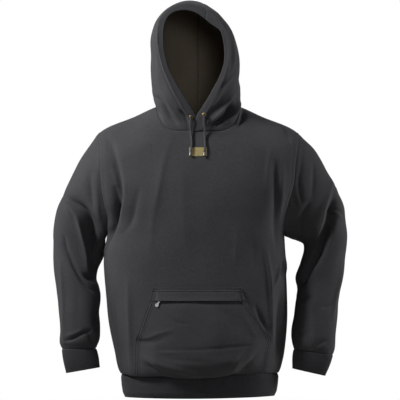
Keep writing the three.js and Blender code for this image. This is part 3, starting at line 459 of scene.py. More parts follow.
@dataclass(frozen=True)
class FleeceFinish:
    """Cotton fleece: a smooth jersey face with a brushed back.

    The jersey face is matt, with a low sheen from its loose fibres. Its wales are about
    1.2 mm apart, so they are drawn as a fine grain and a faint cloudiness of the dye.
    """

    name: str
    dark: str
    light: str
    grain_mm: float = 1.3
    bump_mm: float = 0.22
    sheen: float = 0.12

    def make(self) -> bpy.types.Material:
        """Makes the material."""
        nodes = Nodes(self.name)
        place = nodes.add("ShaderNodeTexCoord").outputs["Object"]
        cloud = nodes.add("ShaderNodeTexNoise", {"Scale": 14.0, "Detail": 3.0, "Roughness": 0.55}, Vector=place)
        fleck = nodes.add("ShaderNodeTexNoise", {"Scale": 210.0, "Detail": 2.0, "Roughness": 0.6}, Vector=place)
        rumple = nodes.add("ShaderNodeTexNoise", {"Scale": 52.0, "Detail": 2.0, "Roughness": 0.5}, Vector=place)
        both = nodes.add(
            "ShaderNodeMath",
            {"operation": "MULTIPLY_ADD", 1: 0.5},
            in_0=fleck.outputs["Fac"],
            in_2=nodes.add("ShaderNodeMath", {"operation": "MULTIPLY", 1: 0.25}, in_0=cloud.outputs["Fac"]).outputs[0],
        )
        grain = nodes.add(
            "ShaderNodeTexNoise",
            {"Scale": 1 / (self.grain_mm * MM), "Detail": 4.0, "Roughness": 0.65},
            Vector=place,
        )
        tones = nodes.add(
            "ShaderNodeMath",
            {"operation": "MULTIPLY_ADD", 1: 0.25},
            in_0=grain.outputs["Fac"],
            in_2=both.outputs[0],
        )
        ramp = nodes.add("ShaderNodeValToRGB", in_0=tones.outputs[0])
        ramp.color_ramp.elements[0].position = 0.3
        ramp.color_ramp.elements[0].color = linear(self.dark)
        ramp.color_ramp.elements[1].position = 0.7
        ramp.color_ramp.elements[1].color = linear(self.light)
        nodes.link(ramp.outputs["Color"], "Base Color")
        bump = nodes.add(
            "ShaderNodeBump",
            {"Strength": 0.55, "Distance": self.bump_mm * MM},
            Height=grain.outputs["Fac"],
            Normal=nodes.add(
                "ShaderNodeBump",
                {"Strength": 0.5, "Distance": 0.9 * MM},
                Height=rumple.outputs["Fac"],
            ).outputs["Normal"],
        )
        nodes.link(bump.outputs["Normal"], "Normal")
        nodes.plain(
            Roughness=0.94,
            Specular_IOR_Level=0.18,
            Sheen_Weight=self.sheen,
            Sheen_Roughness=0.55,
            Sheen_Tint=linear("8c8c92"),
        )
        return nodes.material


@dataclass(frozen=True)
class MetalFinish:
    """Plated or solid metal of small trims, with fine wear in its gloss."""

    name: str
    colour: str
    rough: float

    def make(self) -> bpy.types.Material:
        """Makes the material."""
        nodes = Nodes(self.name)
        place = nodes.add("ShaderNodeTexCoord").outputs["Object"]
        wear = nodes.add("ShaderNodeTexNoise", {"Scale": 900.0, "Detail": 3.0}, Vector=place)
        rough = nodes.add(
            "ShaderNodeMapRange",
            {"To Min": self.rough - 0.07, "To Max": self.rough + 0.12},
            Value=wear.outputs["Fac"],
        )
        nodes.link(rough.outputs["Result"], "Roughness")
        nodes.plain(Base_Color=linear(self.colour), Metallic=1.0)
        return nodes.material


@dataclass(frozen=True)
class LabelFinish:
    """Woven satin label: a yellow-gold weft over fine warp threads 0.5 mm apart."""

    name: str = "woven_gold_label"

    def make(self) -> bpy.types.Material:
        """Makes the material."""
        nodes = Nodes(self.name)
        place = nodes.add("ShaderNodeTexCoord").outputs["Object"]
        weave = nodes.add("ShaderNodeTexWave", {"Scale": 320.0, "Distortion": 0.6}, Vector=place)
        ramp = nodes.add("ShaderNodeValToRGB", in_0=weave.outputs["Fac"])
        ramp.color_ramp.elements[0].color = linear("6f6238")
        ramp.color_ramp.elements[1].color = linear("8c7e4d")
        nodes.link(ramp.outputs["Color"], "Base Color")
        bump = nodes.add("ShaderNodeBump", {"Strength": 0.4, "Distance": 0.1 * MM}, Height=weave.outputs["Fac"])
        nodes.link(bump.outputs["Normal"], "Normal")
        nodes.plain(Roughness=0.55, Sheen_Weight=0.1)
        return nodes.material


@dataclass
class Finishes:
    """Every finish of the hoodie."""

    fleece: bpy.types.Material = field(init=False)

    def __post_init__(self) -> None:
        """Makes the materials."""
        self.fleece = FleeceFinish("charcoal_cotton_fleece", "2c2c2e", "38383a", sheen=0.06).make()
        self.lining = FleeceFinish("brushed_back_of_fleece", "5a5247", "6a6256", 2.2, 0.6, 0.02).make()
        self.rib = FleeceFinish("charcoal_rib_knit", "2a2a2c", "353538", 1.1, 0.2, 0.1).make()
        self.thread = FleeceFinish("sewing_thread", "38383b", "48484c", 0.5, 0.05, 0.1).make()
        self.tape = FleeceFinish("woven_zip_tape", "1c1c1e", "262628", 0.7, 0.1, 0.05).make()
        self.braid = FleeceFinish("round_braided_cord", "303033", "45454a", 0.8, 0.3, 0.15).make()
        self.label = LabelFinish().make()
        self.brass = MetalFinish("aged_brass", "94804f", 0.42).make()
        self.steel = MetalFinish("nickel_plated_zinc", "808183", 0.46).make()


# Meshes -------------------------------------------------------------------------------


def make_object(name: str, points: Array, faces: Sequence[Sequence[int]], materials: Sequence[bpy.types.Material],
                slots: Sequence[int] | None = None) -> bpy.types.Object:
    """Makes a mesh object at the origin from points in millimetres.

    Args:
        name: the piece's name.
        points: the points, one a row.
        faces: corners of each face.
        materials: the piece's materials.
        slots: the number of each face's material.

    Returns:
        The object, in the scene and smoothly shaded.
    """
    mesh = bpy.data.meshes.new(name)
    mesh.from_pydata((points * MM).tolist(), [], faces)
    for material in materials:
        mesh.materials.append(material)
    if slots is not None:
        mesh.polygons.foreach_set("material_index", slots)
    mesh.polygons.foreach_set("use_smooth", [True] * len(mesh.polygons))
    mesh.update()
    piece = bpy.data.objects.new(name, mesh)
    bpy.context.collection.objects.link(piece)
    return piece


def grid_faces(rows: int, columns: int, closed: bool, flip: bool) -> list[tuple[int, int, int, int]]:
    """The faces of a grid of points, row by row."""
    faces = []
    for i in range(rows - 1):
        for j in range(columns if closed else columns - 1):
            k = (j + 1) % columns
            a, b, c, d = i * columns + j, i * columns + k, (i + 1) * columns + k, (i + 1) * columns + j
            faces.append((a, d, c, b) if flip else (a, b, c, d))
    return faces


def apply_all(piece: bpy.types.Object) -> None:
    """Applies every modifier of a piece, in order."""
    bpy.ops.object.select_all(action="DESELECT")
    piece.select_set(True)
    bpy.context.view_layer.objects.active = piece
    for modifier in list(piece.modifiers):
        bpy.ops.object.modifier_apply(modifier=modifier.name)


@dataclass
class Cloth:
    """A cut piece of cloth: a grid of outer points with a thickness on the inner side."""

    name: str
    grid: Array
    closed: bool
    flip: bool
    thick: float = FLEECE

    def build(self, outer: bpy.types.Material, inner: bpy.types.Material) -> bpy.types.Object:
        """Makes the piece as a closed shell.

        Args:
            outer: finish of the face.
            inner: finish of the back.

        Returns:
            The piece.
        """
        rows, columns = self.grid.shape[:2]
        faces = grid_faces(rows, columns, self.closed, self.flip)
        piece = make_object(self.name, self.grid.reshape(-1, 3), faces, [outer, inner])
        shell = piece.modifiers.new("thickness", "SOLIDIFY")
        shell.thickness = self.thick * MM
        shell.offset = -1
        shell.use_even_offset = False
        shell.material_offset = 1
        shell.material_offset_rim = 0
        apply_all(piece)
        self.measure(piece)
        return piece

    def measure(self, piece: bpy.types.Object) -> None:
        """Reports the piece's size."""
        LOG.info("%s: %d faces", piece.name, len(piece.data.polygons))

    def flat_size(self) -> tuple[float, float, float]:
        """The cut's width, height and area, in metres and square metres."""
        across = np.linalg.norm(np.diff(self.grid, axis=1), axis=2).sum(axis=1)
        if self.closed:
            across = across + np.linalg.norm(self.grid[:, 0] - self.grid[:, -1], axis=1)
        up = np.linalg.norm(np.diff(self.grid, axis=0), axis=2).sum(axis=0)
        a = self.grid[1:, :-1] - self.grid[:-1, :-1]
        b = self.grid[:-1, 1:] - self.grid[:-1, :-1]
        area = np.linalg.norm(np.cross(a, b), axis=2).sum()
        if self.closed:
            a = self.grid[1:, -1] - self.grid[:-1, -1]
            b = self.grid[:-1, 0] - self.grid[:-1, -1]
            area += np.linalg.norm(np.cross(a, b), axis=1).sum()
        return float(across.max()) * MM, float(up.max()) * MM, float(area) * MM * MM


# The body -----------------------------------------------------------------------------


def torso_depth(face: Face, x: Array, z: Array) -> Array:
    """How far back the torso's surface lies at a place of the front view."""
    row = TORSO.at(z)
    half = np.where(x < 0, row["right"], row["left"])
    depth = row["front"] if face is Face.FRONT else row["back"]
    edge = row["edge_front"] if face is Face.FRONT else row["edge_back"]
    share = (1 - (np.maximum(edge, 0) / depth) ** SQUARE) ** (1 / SQUARE)
    off = np.minimum(np.abs(x) * share / half, 1)
    around = (1 - off**SQUARE) ** (1 / SQUARE)
    ridge = SHOULDER.at(np.abs(x) / half * SHOULDER_TIP)["z"]
    below = np.clip((ridge - z) / 95.0, 0, 1)
    return SIDE_SEAM_Y + face.value * depth * around * np.sqrt(1 - (1 - below) ** 2)


def top_edge(face: Face, x: Array) -> Array:
    """Height of the neckline and shoulder seams over the distance from the centre."""
    off = np.abs(x)
    low, power = (-48.0, 7.0) if face is Face.FRONT else (-2.0, 3.0)
    neck = lerp(low, 14.0, np.minimum(off / NECK_HALF, 1) ** power)
    return np.where(off >= NECK_HALF, SHOULDER.at(off)["z"], neck)


def body_points(face: Face, shares: Array, rows: Array) -> Array:
    """Points of a panel.

    Args:
        face: the panel.
        shares: places across, from -1 at the wearer's right to 1.
        rows: places up, from 0 at the hem seam over 1 at the underarm to 2 at the top.

    Returns:
        The points, in millimetres.
    """
    share, row = np.broadcast_arrays(shares, rows)
    low = lerp(HEM_SEAM_Z, UNDERARM_Z, np.minimum(row, 1))
    z = lerp(low, top_edge(face, share * SHOULDER_TIP), np.maximum(row - 1, 0))
    reach = TORSO.at(z)
    x = share * np.where(share < 0, reach["right"], reach["left"])
    return np.stack([x, torso_depth(face, x, z), z], axis=-1)


@dataclass
class Body:
    """The front and back panels."""

    sag: Table = Table(
        ("x", "down"),
        (
            (-230, 2),
            (-189, 8),
            (-163, 13),
            (-120, 13),
            (-90, 11),
            (-58, 16),
            (-25, 17),
            (10, 17),
            (42, 15),
            (66, 12),
            (88, 6),
            (115, 1),
            (160, 1),
            (202, 4),
            (235, 2),
        ),
    )
    lines: dict[bool, Array] = field(default_factory=dict)
    stitches: list[Array] = field(default_factory=list)
    front_folds: tuple[Fold, ...] = (
        Fold(((-222, -80), (-214, -115), (-204, -165), (-200, -200), (-201, -228), (-207, -255), (-216, -290), (-232, -334)), -15, 15, 0.45),
        Fold(((-214, -196), (-211, -236), (-212, -268), (-221, -300), (-233, -336), (-240, -370)), -13, 6.5),
        Fold(((113, 8), (114, -14), (106, -34)), -8, 7),
        Fold(((-214, -150), (-208, -190), (-203, -222)), 2.4, 4),
        Fold(((-224, -128), (-214, -168), (-209, -206)), 2.0, 4),
        Fold(((-150, -196), (-160, -240), (-170, -280), (-184, -304)), -4.5, 13, 0.2),
        Fold(((-68, -66), (-88, -136), (-102, -208), (-114, -272), (-120, -350)), 2.6, 17, 0.2),
        Fold(((190, -25), (210, -32), (226, -50), (235, -72)), -7, 8),
        Fold(((197, -130), (200, -200), (198, -290), (202, -352)), -6.5, 12),
        Fold(((214, -120), (214, -190), (211, -280)), 4.0, 8),
        Fold(((184, -92), (179, -140), (174, -205)), 3.0, 9),
        Fold(((225, -236), (222, -270), (221, -306)), -8, 6),
        Fold(((219, -354), (212, -384), (203, -418), (191, -452)), 5.5, 5, -0.2),
        Fold(((219, -360), (222, -384), (226, -410)), 4.5, 4),
        Fold(((216, -372), (214, -396), (213, -420)), -6, 7),
        Fold(((171, -345), (176, -380), (182, -420), (186, -474), (188, -538), (192, -590)), 6.0, 6.5, -0.25),
        Fold(((212, -455), (210, -510), (209, -556), (205, -628)), -9, 12, 0.2),
        Fold(((146, -494), (160, -526), (176, -560)), -5.5, 8),
        Fold(((96, -296), (98, -340), (96, -388)), 2.2, 13),
        Fold(((138, -322), (142, -360), (144, -408)), -2.4, 15),
        Fold(((-210, -470), (-212, -530), (-204, -600), (-192, -650)), -5.0, 14),
        Fold(((-178, -430), (-176, -520), (-172, -610), (-168, -660)), 4.0, 10),
        Fold(((-34, -140), (-38, -240), (-30, -350)), 1.6, 24),
        Fold(((-188, -180), (-192, -226), (-198, -268)), 2.2, 8),
    )
    back_folds: tuple[Fold, ...] = (
        Fold(((-218, -96), (-214, -180), (-221, -272)), -8, 15, 0.3),
        Fold(((218, -96), (214, -180), (220, -272)), -8, 15, -0.3),
        Fold(((-196, -130), (-186, -210), (-200, -290)), 4, 15),
        Fold(((196, -130), (188, -210), (200, -290)), 4, 15),
        Fold(((-120, -560), (-30, -600), (90, -588)), -5, 17),
        Fold(((-60, -625), (40, -640), (140, -620)), 4, 15),
        Fold(((-170, -440), (-80, -500), (20, -505)), -3, 20),
        Fold(((180, -420), (110, -470), (30, -480)), -3, 18),
        Fold(((-130, -120), (-60, -150), (0, -155), (60, -150), (130, -120)), -2.5, 22),
        Fold(((-200, -560), (-186, -620), (-150, -650)), -4, 14),
        Fold(((205, -540), (190, -610), (160, -650)), -4, 14),
    )

    def panel(self, face: Face) -> Array:
        """The outer points of a panel, in millimetres."""
        neck = NECK_HALF / SHOULDER_TIP
        half = np.concatenate([neck * np.sin(clustered(34) * np.pi / 2), lerp(neck, 1, clustered(36, (), (0.01, 0.02, 0.034, 0.05, 0.066, 0.08)) ** 0.9)[1:]])
        shares = np.concatenate([-half[::-1][:-1], half])
        low = clustered(84, (0.003, 0.007, 0.012, 0.017, 0.023, 0.03, 0.036, 0.044))
        high = 1 + clustered(80, (), (0.006, 0.014, 0.026, 0.04))
        rows = np.concatenate([low[:-1], high])
        grid = body_points(face, shares[None, :], rows[:, None])
        flip = face is Face.BACK
        normals = grid_normals(grid, False, flip)
        up = np.minimum(rows / 0.06, np.maximum(2 - rows, 0) / 0.05)
        side = np.minimum((1 - np.abs(shares)) / 0.07, 1)
        armhole = smooth(rows, 0.8, 0.95)[:, None]
        fade = np.clip(up, 0, 1)[:, None] * lerp(1.0, side[None, :], armhole)
        folds = self.front_folds if face is Face.FRONT else self.back_folds
        grid = press(grid, normals, folds, face, fade)
        inside = np.clip(np.minimum(up, 1), 0, 1)[:, None] * side[None, :]
        grid += normals * (ripple(grid, 120, 4 + face.value) * 1.1 * inside)[..., None]
        if face is Face.FRONT:
            grid = self.blouse(grid)
        return self.turn_in(grid, rows, shares, flip)

    def blouse(self, grid: Array) -> Array:
        """Lets the front sag over the hem band, as the photo shows it."""
        above = run_along(grid, 0)
        share = smooth(above, 0, 9) * (1 - smooth(above, 12, 75))
        droop = self.sag.at(grid[..., 0])["down"] * share
        moved = grid.copy()
        moved[..., 2] -= droop
        moved[..., 1] -= droop * 0.32 + 2.5 * share
        return moved

    def turn_in(self, grid: Array, rows: Array, shares: Array, flip: bool) -> Array:
        """Sinks a panel's edges into their seams and adds the seam allowances."""
        normals = grid_normals(grid, False, flip)
        armhole = smooth(rows, 0.97, 1.03)[:, None]
        edges = []
        for column in (0, -1):
            line = grid[:, column]
            edges.append(unit(lerp(outward(Seam.SIDE, line), outward(Seam.ARMHOLE, line), armhole)))
        neck = NECK_HALF / SHOULDER_TIP
        on_neck = (1 - smooth(np.abs(shares), neck * 0.93, neck * 1.04))[:, None]
        top = unit(lerp(outward(Seam.SHOULDER, grid[-1]), outward(Seam.NECK, grid[-1]), on_neck))
        low = normals[0].copy()
        low[:, 2] = 0
        low = unit(low)
        moved = grid.copy()
        for column, out, line in ((0, edges[0], grid), (-1, edges[1], grid[:, ::-1])):
            gap = run_along(line, 1)
            welt = 1.3 * smooth(gap, 0.5, 2.5) * (1 - smooth(gap, 7, 11))
            dip = lerp(seam_dip(gap), seam_dip(gap, 0.5) + welt, armhole)
            dip = dip if column == 0 else dip[:, ::-1]
            moved += out[:, None, :] * dip[..., None]
        moved += top[None] * seam_dip(run_along(grid[::-1], 0)[::-1])[..., None]
        moved += low[None] * seam_dip(run_along(grid, 0))[..., None]
        stitched = stitch_dip(run_along(grid, 0), (6.0, 12.0))
        for line in (grid, grid[:, ::-1]):
            dip = stitch_dip(run_along(line, 1), (5.0, 11.0)) * armhole
            stitched += dip if line is grid else dip[:, ::-1]
        moved += normals * stitched[..., None]
        self.lines[flip] = moved
        left = allowance(moved[:, 0], edges[0])
        right = allowance(moved[:, -1], edges[1])
        wide = np.concatenate([left[:, None], moved, right[:, None]], axis=1)
        low = np.concatenate([low[:1], low, low[-1:]])
        top = np.concatenate([top[:1], top, top[-1:]])
        return np.concatenate([allowance(wide[0], low)[None], wide, allowance(wide[-1], top)[None]])

    def build(self, looks: Finishes) -> list[tuple[bpy.types.Object, Cloth, str]]:
        """Builds the panels.

        Args:
            looks: the finishes.

        Returns:
            Each piece with its cloth and the node that it stands for.
        """
        made = []
        for face, name in ((Face.FRONT, "front_panel"), (Face.BACK, "back_panel")):
            cloth = Cloth(f"cloth_{name}", self.panel(face), False, face is Face.BACK)
            piece = cloth.build(looks.fleece, looks.lining)
            made.append((piece, cloth, name))
            grid = self.lines[face is Face.BACK]
            start = int(np.argmin(np.abs(grid[:, 0, 2] - UNDERARM_Z))) + 2
            for gap in (6.0, 12.0):
                self.stitches.append(line_beside(grid, 0, gap)[2:-2])
            for gap, far in ((5.0, False), (11.0, False), (5.0, True), (11.0, True)):
                self.stitches.append(line_beside(grid[start:-2], 1, gap, far))
        return made


# The hem band and the cuffs -----------------------------------------------------------


@dataclass
class Hem:
    """The rib band round the hem."""

    rows: tuple[tuple[float, float], ...] = ((0, 0), (10, -1.5), (28, 0), (44, 3), (54, 8))
    pitch: float = 3.2
    ridge: float = 0.55
    points_a_rib: int = 4

    def build(self, looks: Finishes) -> list[tuple[bpy.types.Object, Cloth, str]]:
        """Builds the band."""
        fine = np.sin(np.linspace(0, 1, 200) * np.pi / 2)
        shares = np.concatenate([-fine[::-1][:-1], fine])
        front = body_points(Face.FRONT, shares, np.zeros(1))
        back = body_points(Face.BACK, shares, np.zeros(1))
        loop = np.concatenate([front, back[::-1][1:]])
        length = np.linalg.norm(np.diff(loop, axis=0), axis=1).sum()
        ribs = int(length / self.pitch)
        count = ribs * self.points_a_rib
        ring = spaced(loop, np.arange(count) / count)
        tangent = np.roll(ring, -1, axis=0) - np.roll(ring, 1, axis=0)
        out = unit(np.stack([tangent[:, 1], -tangent[:, 0], np.zeros(count)], axis=1))
        downs = np.concatenate([[0, 1.2, 2.6, 4.5], np.linspace(7, 54, 15)])
        draws = np.interp(downs, [r[0] for r in self.rows], [r[1] for r in self.rows])
        rib = self.ridge * np.cos(2 * np.pi * np.arange(count) / self.points_a_rib)
        hang = 3.5 + 3.5 * np.cos(ring[:, 0] / 200 * np.pi / 2) - ring[:, 0] / 200 * 1.5
        bag = ripple(np.stack([ring, ring])[:1], 90, 3)[0] * 1.2
        grid = []
        for down, draw in zip(downs, draws):
            near = seam_dip(np.array(float(down)), 1.2, 2.4)
            height = -draw + near + rib * smooth(down, 0, 3) + bag * smooth(down, 0, 20)
            point = ring + out * height[:, None]
            point[:, 2] = ring[:, 2] - down - hang * smooth(down, 10, 54)
            grid.append(point)
        edge = grid[-1]
        for angle in np.linspace(0, np.pi, 6)[1:]:
            turn = RIB / 2
            point = edge - out * (turn * (1 - math.cos(angle)))
            point[:, 2] = edge[:, 2] - turn * math.sin(angle)
            grid.append(point)
        for down, draw in list(zip(downs, draws))[::-1][1:]:
            point = ring + out * (-draw - RIB - rib)[:, None]
            point[:, 2] = ring[:, 2] - down - hang * smooth(down, 10, 54)
            grid.append(point)
        grid.append(grid[0])
        points = np.stack(grid)[:-1]
        faces = grid_faces(len(points), count, True, False)
        last = (len(points) - 1) * count
        faces += [(last + j, last + (j + 1) % count, (j + 1) % count, j) for j in range(count)]
        faces = [face[::-1] for face in faces]
        piece = make_object("rib_hem_band", points.reshape(-1, 3), faces, [looks.rib])
        cloth = Cloth("rib_hem_band", points[: len(downs) + 2], True, False, RIB)
        cloth.measure(piece)
        return [(piece, cloth, "hem_band")]


# The sleeves --------------------------------------------------------------------------


def ring_points(ring: tuple[float, ...], turns: Array) -> Array:
    """Points of a sleeve's ring: turn 0 is the inner side, a quarter the front."""
    out_x, out_z, in_x, in_z, middle, deep = ring
    angle = turns * 2 * np.pi
    inward = (1 + np.cos(angle)) / 2
    return np.stack([lerp(out_x, in_x, inward), middle - deep * np.sin(angle), lerp(out_z, in_z, inward)], axis=-1)


@dataclass
class Sleeve:
    """A dropped-shoulder sleeve with its rib cuff."""

    side: Wearer
    rings: tuple[tuple[float, ...], ...]
    cuff_end: tuple[float, ...]
    folds: tuple[Fold, ...]
    back_folds: tuple[Fold, ...]
    settle: int = 5
    columns: int = 144
    ribs: int = 68
    stitches: list[Array] = field(default_factory=list)

    @property
    def word(self) -> str:
        """The side's name."""
        return self.side.name.lower()

    def armhole(self, places: Array) -> Array:
        """Points of the armhole, from the underarm up the front and down the back."""
        edge = np.array([float(self.side.value)])
        up = body_points(Face.FRONT, edge, 1 + np.minimum(places * 2, 1))
        down = body_points(Face.BACK, edge, 1 + np.minimum((1 - places) * 2, 1))
        return np.where((places <= 0.5)[:, None], up, down)

    def lines(self, places: Array) -> Array:
        """The rings' points for each column, with the armhole's first."""
        start = self.armhole(places)
        under, over = start[:, 2].min(), start[:, 2].max()
        rise = np.clip((start[:, 2] - under) / (over - under), 0, 1)
        quarter = np.arccos(1 - 2 * rise) / (2 * np.pi)
        first = np.where(places <= 0.5, quarter, 1 - quarter)
        stack = [start]
        for i, ring in enumerate(self.rings):
            stack.append(ring_points(ring, lerp(first, places, smooth(i, 0, self.settle))))
        return np.stack(stack)

    def tube(self) -> Array:
        """The sleeve's outer points, from the armhole to the cuff's seam."""
        places = np.arange(self.columns) / self.columns
        shares = clustered(150, (0.002, 0.005, 0.009), (0.003, 0.006, 0.01, 0.014, 0.018, 0.022, 0.027))
        grid = spline(self.lines(places), shares)
        flip = self.side is Wearer.LEFT
        normals = grid_normals(grid, True, flip)
        fade = np.clip(np.minimum(shares / 0.1, (1 - shares) / 0.05), 0, 1)[:, None]
        grid = press(grid, normals, self.folds, Face.FRONT, fade)
        grid = press(grid, normals, self.back_folds, Face.BACK, fade)
        grid += normals * (ripple(grid, 85, 20 + self.side.value) * 1.5 * fade)[..., None]
        normals = grid_normals(grid, True, flip)
        out = outward(Seam.ARMHOLE, grid[0])
        above_cuff = run_along(grid[::-1], 0)[::-1]
        dips = seam_dip(above_cuff, 1.2) + stitch_dip(above_cuff, (6.0, 11.0))
        grid = grid + out[None] * seam_dip(run_along(grid, 0), 0.6)[..., None] + normals * dips[..., None]
        self.stitches = [line_beside(np.concatenate([grid, grid[:, :1]], axis=1), 0, gap, True) for gap in (6.0, 11.0)]
        return np.concatenate([allowance(grid[0], out)[None], grid, allowance(grid[-1], normals[-1])[None]])

    def cuff(self) -> Array:
        """The cuff's points: outer face, rounded end and inner face."""
        count = self.ribs * 4
        places = np.arange(count) / count
        top = spline(self.lines(places), np.array([1.0]))[0]
        end = ring_points(self.cuff_end, places)
        flip = self.side is Wearer.LEFT
        downs = np.concatenate([[0, 0.02, 0.045, 0.08], np.linspace(0.13, 1, 14)])
        plain = np.stack([lerp(top, end, down) for down in downs])
        normals = grid_normals(plain, True, flip)
        rib = 0.5 * np.cos(2 * np.pi * np.arange(count) / 4)
        grid = []
        for i, down in enumerate(downs):
            puff = 1.5 * math.sin(math.pi * min(down * 1.1, 1)) - 1.4 * math.exp(-((down / 0.04) ** 2))
            grid.append(plain[i] + normals[i] * (puff + rib * smooth(down, 0, 0.06))[:, None])
        along = unit(end - top)
        for angle in np.linspace(0, np.pi, 6)[1:]:
            turn = RIB / 2
            grid.append(grid[len(downs) - 1] - normals[-1] * (turn * (1 - math.cos(angle))) + along * (turn * math.sin(angle)))
        for i in range(len(downs) - 2, -1, -1):
            grid.append(plain[i] - normals[i] * (RIB + rib)[:, None])
        return np.stack(grid)

    def build(self, looks: Finishes) -> list[tuple[bpy.types.Object, Cloth, str]]:
        """Builds the sleeve and its cuff."""
        flip = self.side is Wearer.LEFT
        cloth = Cloth(f"cloth_sleeve_{self.word}", self.tube(), True, flip)
        made = [(cloth.build(looks.fleece, looks.lining), cloth, f"sleeve_{self.word}")]
        points = self.cuff()
        rows, count = points.shape[:2]
        faces = grid_faces(rows, count, True, flip)
        last = (rows - 1) * count
        for j in range(count):
            k = (j + 1) % count
            corners = (last + j, last + k, k, j)
            faces.append(corners[::-1] if flip else corners)
        piece = make_object(f"rib_cuff_{self.word}", points.reshape(-1, 3), faces, [looks.rib])
        band = Cloth(piece.name, points[:20], True, flip, RIB)
        band.measure(piece)
        made.append((piece, band, f"cuff_{self.word}"))
        return made


# The hood -----------------------------------------------------------------------------


@dataclass
class Hood:
    """The hood's two halves, with the drawcord's casing along the front edge."""

    arches: Table = Table(
        ("along", "wide", "wide_y", "wide_z", "top_y", "top_z"),
        (
            (0.0, 79, -110, 160, -104, 258),
            (0.11, 93, -102, 152, -92, 276),
            (0.25, 106, -72, 136, -46, 284),
            (0.42, 112, -42, 120, 12, 284),
            (0.58, 113, -18, 104, 76, 262),
            (0.73, 112, 2, 88, 126, 204),
            (0.84, 111, 14, 70, 140, 132),
            (0.93, 110, 24, 46, 130, 74),
            (1.0, 109, 24, 28, 88, 22),
        ),
    )
    edge: tuple[tuple[float, float, float], ...] = (
        (0, -50, -99),
        (1, -32, -103),
        (3, -14, -107),
        (17, 4, -110),
        (35, 29, -112),
        (51, 67, -112),
        (64, 104, -112),
        (75, 139, -111),
        (78, 166, -110),
        (72, 205, -108),
        (52, 238, -105),
        (0, 252, -104),
    )
    opening_right: tuple[tuple[float, float], ...] = (
        (0, -50),
        (-1.5, -32),
        (-7, -12),
        (-17, 8),
        (-30, 31),
        (-46, 56),
        (-59, 79),
        (-72, 104),
        (-81, 130),
        (-87, 159),
        (-89.5, 181),
        (-90, 203),
        (-86, 226),
        (-78, 242),
        (-67, 252),
        (-52, 258),
        (-30, 260),
        (-12, 256.5),
        (4, 249),
        (20.5, 237),
    )
    opening_left: tuple[tuple[float, float], ...] = (
        (0, -50),
        (0.5, -32),
        (1, -8),
        (14, 17),
        (27.5, 40),
        (40, 63),
        (51.5, 83),
        (60, 104),
        (66, 124),
        (68, 146),
        (67.5, 168),
        (65, 188),
        (60, 203),
        (53, 212),
        (40, 220.5),
        (29, 229.5),
        (20.5, 237),
    )
    folds: tuple[Fold, ...] = (
        Fold(((-113, 38), (-97, 27), (-82, 4), (-69, -14), (-54, -29)), -9, 8, 0.15),
        Fold(((-104, 52), (-84, 32), (-67, 8), (-48, -17)), 6, 8),
        Fold(((-114, 62), (-98, 44), (-80, 26), (-62, 4)), -3.5, 5),
        Fold(((-47, 3), (-31, -14), (-17, -31)), -8, 5.5),
        Fold(((-106, 2), (-102, -18), (-94, -33)), -7, 7),
        Fold(((104, 62), (84, 34), (72, 15), (56, -5), (42, -21), (28, -31)), 11, 8, 0.3),
        Fold(((99, 40), (90, 18), (80, 0), (58, -22), (40, -31)), -20, 9.5, 0.2),
        Fold(((108, 20), (101, -2), (82, -18), (56, -34)), 6, 8),
        Fold(((99, 102), (82, 85), (68, 70), (56, 56)), 4.5, 6.5),
        Fold(((86, 66), (68, 44), (48, 18), (30, -6)), -5, 12),
        Fold(((64, 230), (84, 200), (91, 166), (91, 134), (86, 106)), 4.5, 5),
        Fold(((76, 208), (86, 176), (87, 146), (82, 112)), -4.0, 4.5),
        Fold(((-104, 200), (-103, 150), (-100, 96), (-96, 58)), 3.0, 9),
        Fold(((24, 262), (44, 251), (62, 232)), 3.0, 5),
        Fold(((30, 272), (54, 256), (74, 230)), -3.0, 5),
    )
    casing_low: float = 19.0
    casing_high: float = 14.0
    roll: float = 2.6
    steps: int = 64
    columns: int = 76
    stitches: list[Array] = field(default_factory=list)

    def half_arch(self, along: float, foot: Array, side: int) -> Array:
        """Half of an arch, from its foot on the neck seam to the top."""
        row = {name: float(value) for name, value in self.arches.at(along).items()}
        wide = np.array([side * row["wide"], row["wide_y"], row["wide_z"]])
        top = np.array([0.0, row["top_y"], row["top_z"]])
        rise = wide[2] - foot[2]
        leave = np.array([lerp(foot[0], wide[0], 0.45), lerp(foot[1], wide[1], 0.15), foot[2] + 0.36 * rise])
        arrive = np.array([wide[0], lerp(foot[1], wide[1], 0.85), wide[2] - 0.42 * rise])
        temple = np.array([wide[0], lerp(wide[1], top[1], 0.35), lerp(wide[2], top[2], 0.58)])
        crown = np.array([wide[0] * 0.52, top[1], top[2]])
        lower = bezier((foot, leave, arrive, wide), 90)
        upper = bezier((wide, temple, crown, top), 90)
        return spaced(np.concatenate([lower, upper[1:]]), np.linspace(0, 1, self.steps + 1))

    def arch(self, along: float) -> Array:
        """A whole arch, from the neck on the wearer's right over the head to the left."""
        halves = []
        for side in (-1, 1):
            share = np.array([side * NECK_HALF / SHOULDER_TIP * math.sin(along * math.pi / 2)])
            foot = body_points(Face.FRONT, share, np.array([2.0]))[0]
            corner = body_points(Face.FRONT, np.array([0.0]), np.array([2.0]))[0]
            plain = self.half_arch(along, foot, side)
            first = self.half_arch(0.0, corner, side)
            knots = np.array([(side * half, y, z) for half, z, y in self.edge])
            knots[0] = corner
            face = spaced(spline(knots, np.linspace(0, 1, 200)), np.linspace(0, 1, self.steps + 1))
            plain = plain + (face - first) * (1 - smooth(along, 0, 0.3))
            shift = lerp(-10.5, -7.5, smooth(along, 0, 0.35))
            tilt = -14 * smooth(plain[:, 2], 190, 290)
            bulge = -13 * smooth(plain[:, 2], 130, 205) * (1 - smooth(plain[:, 2], 220, 290))
            place = np.linspace(0, 1, self.steps + 1)
            lean = shift * smooth(place, 0, 0.2) + tilt + bulge * smooth(-plain[:, 0], 0, 70)
            plain[:, 0] += lean * (1 - smooth(along, 0.7, 1))
            halves.append(plain)
        return np.concatenate([halves[0], halves[1][::-1][1:]])

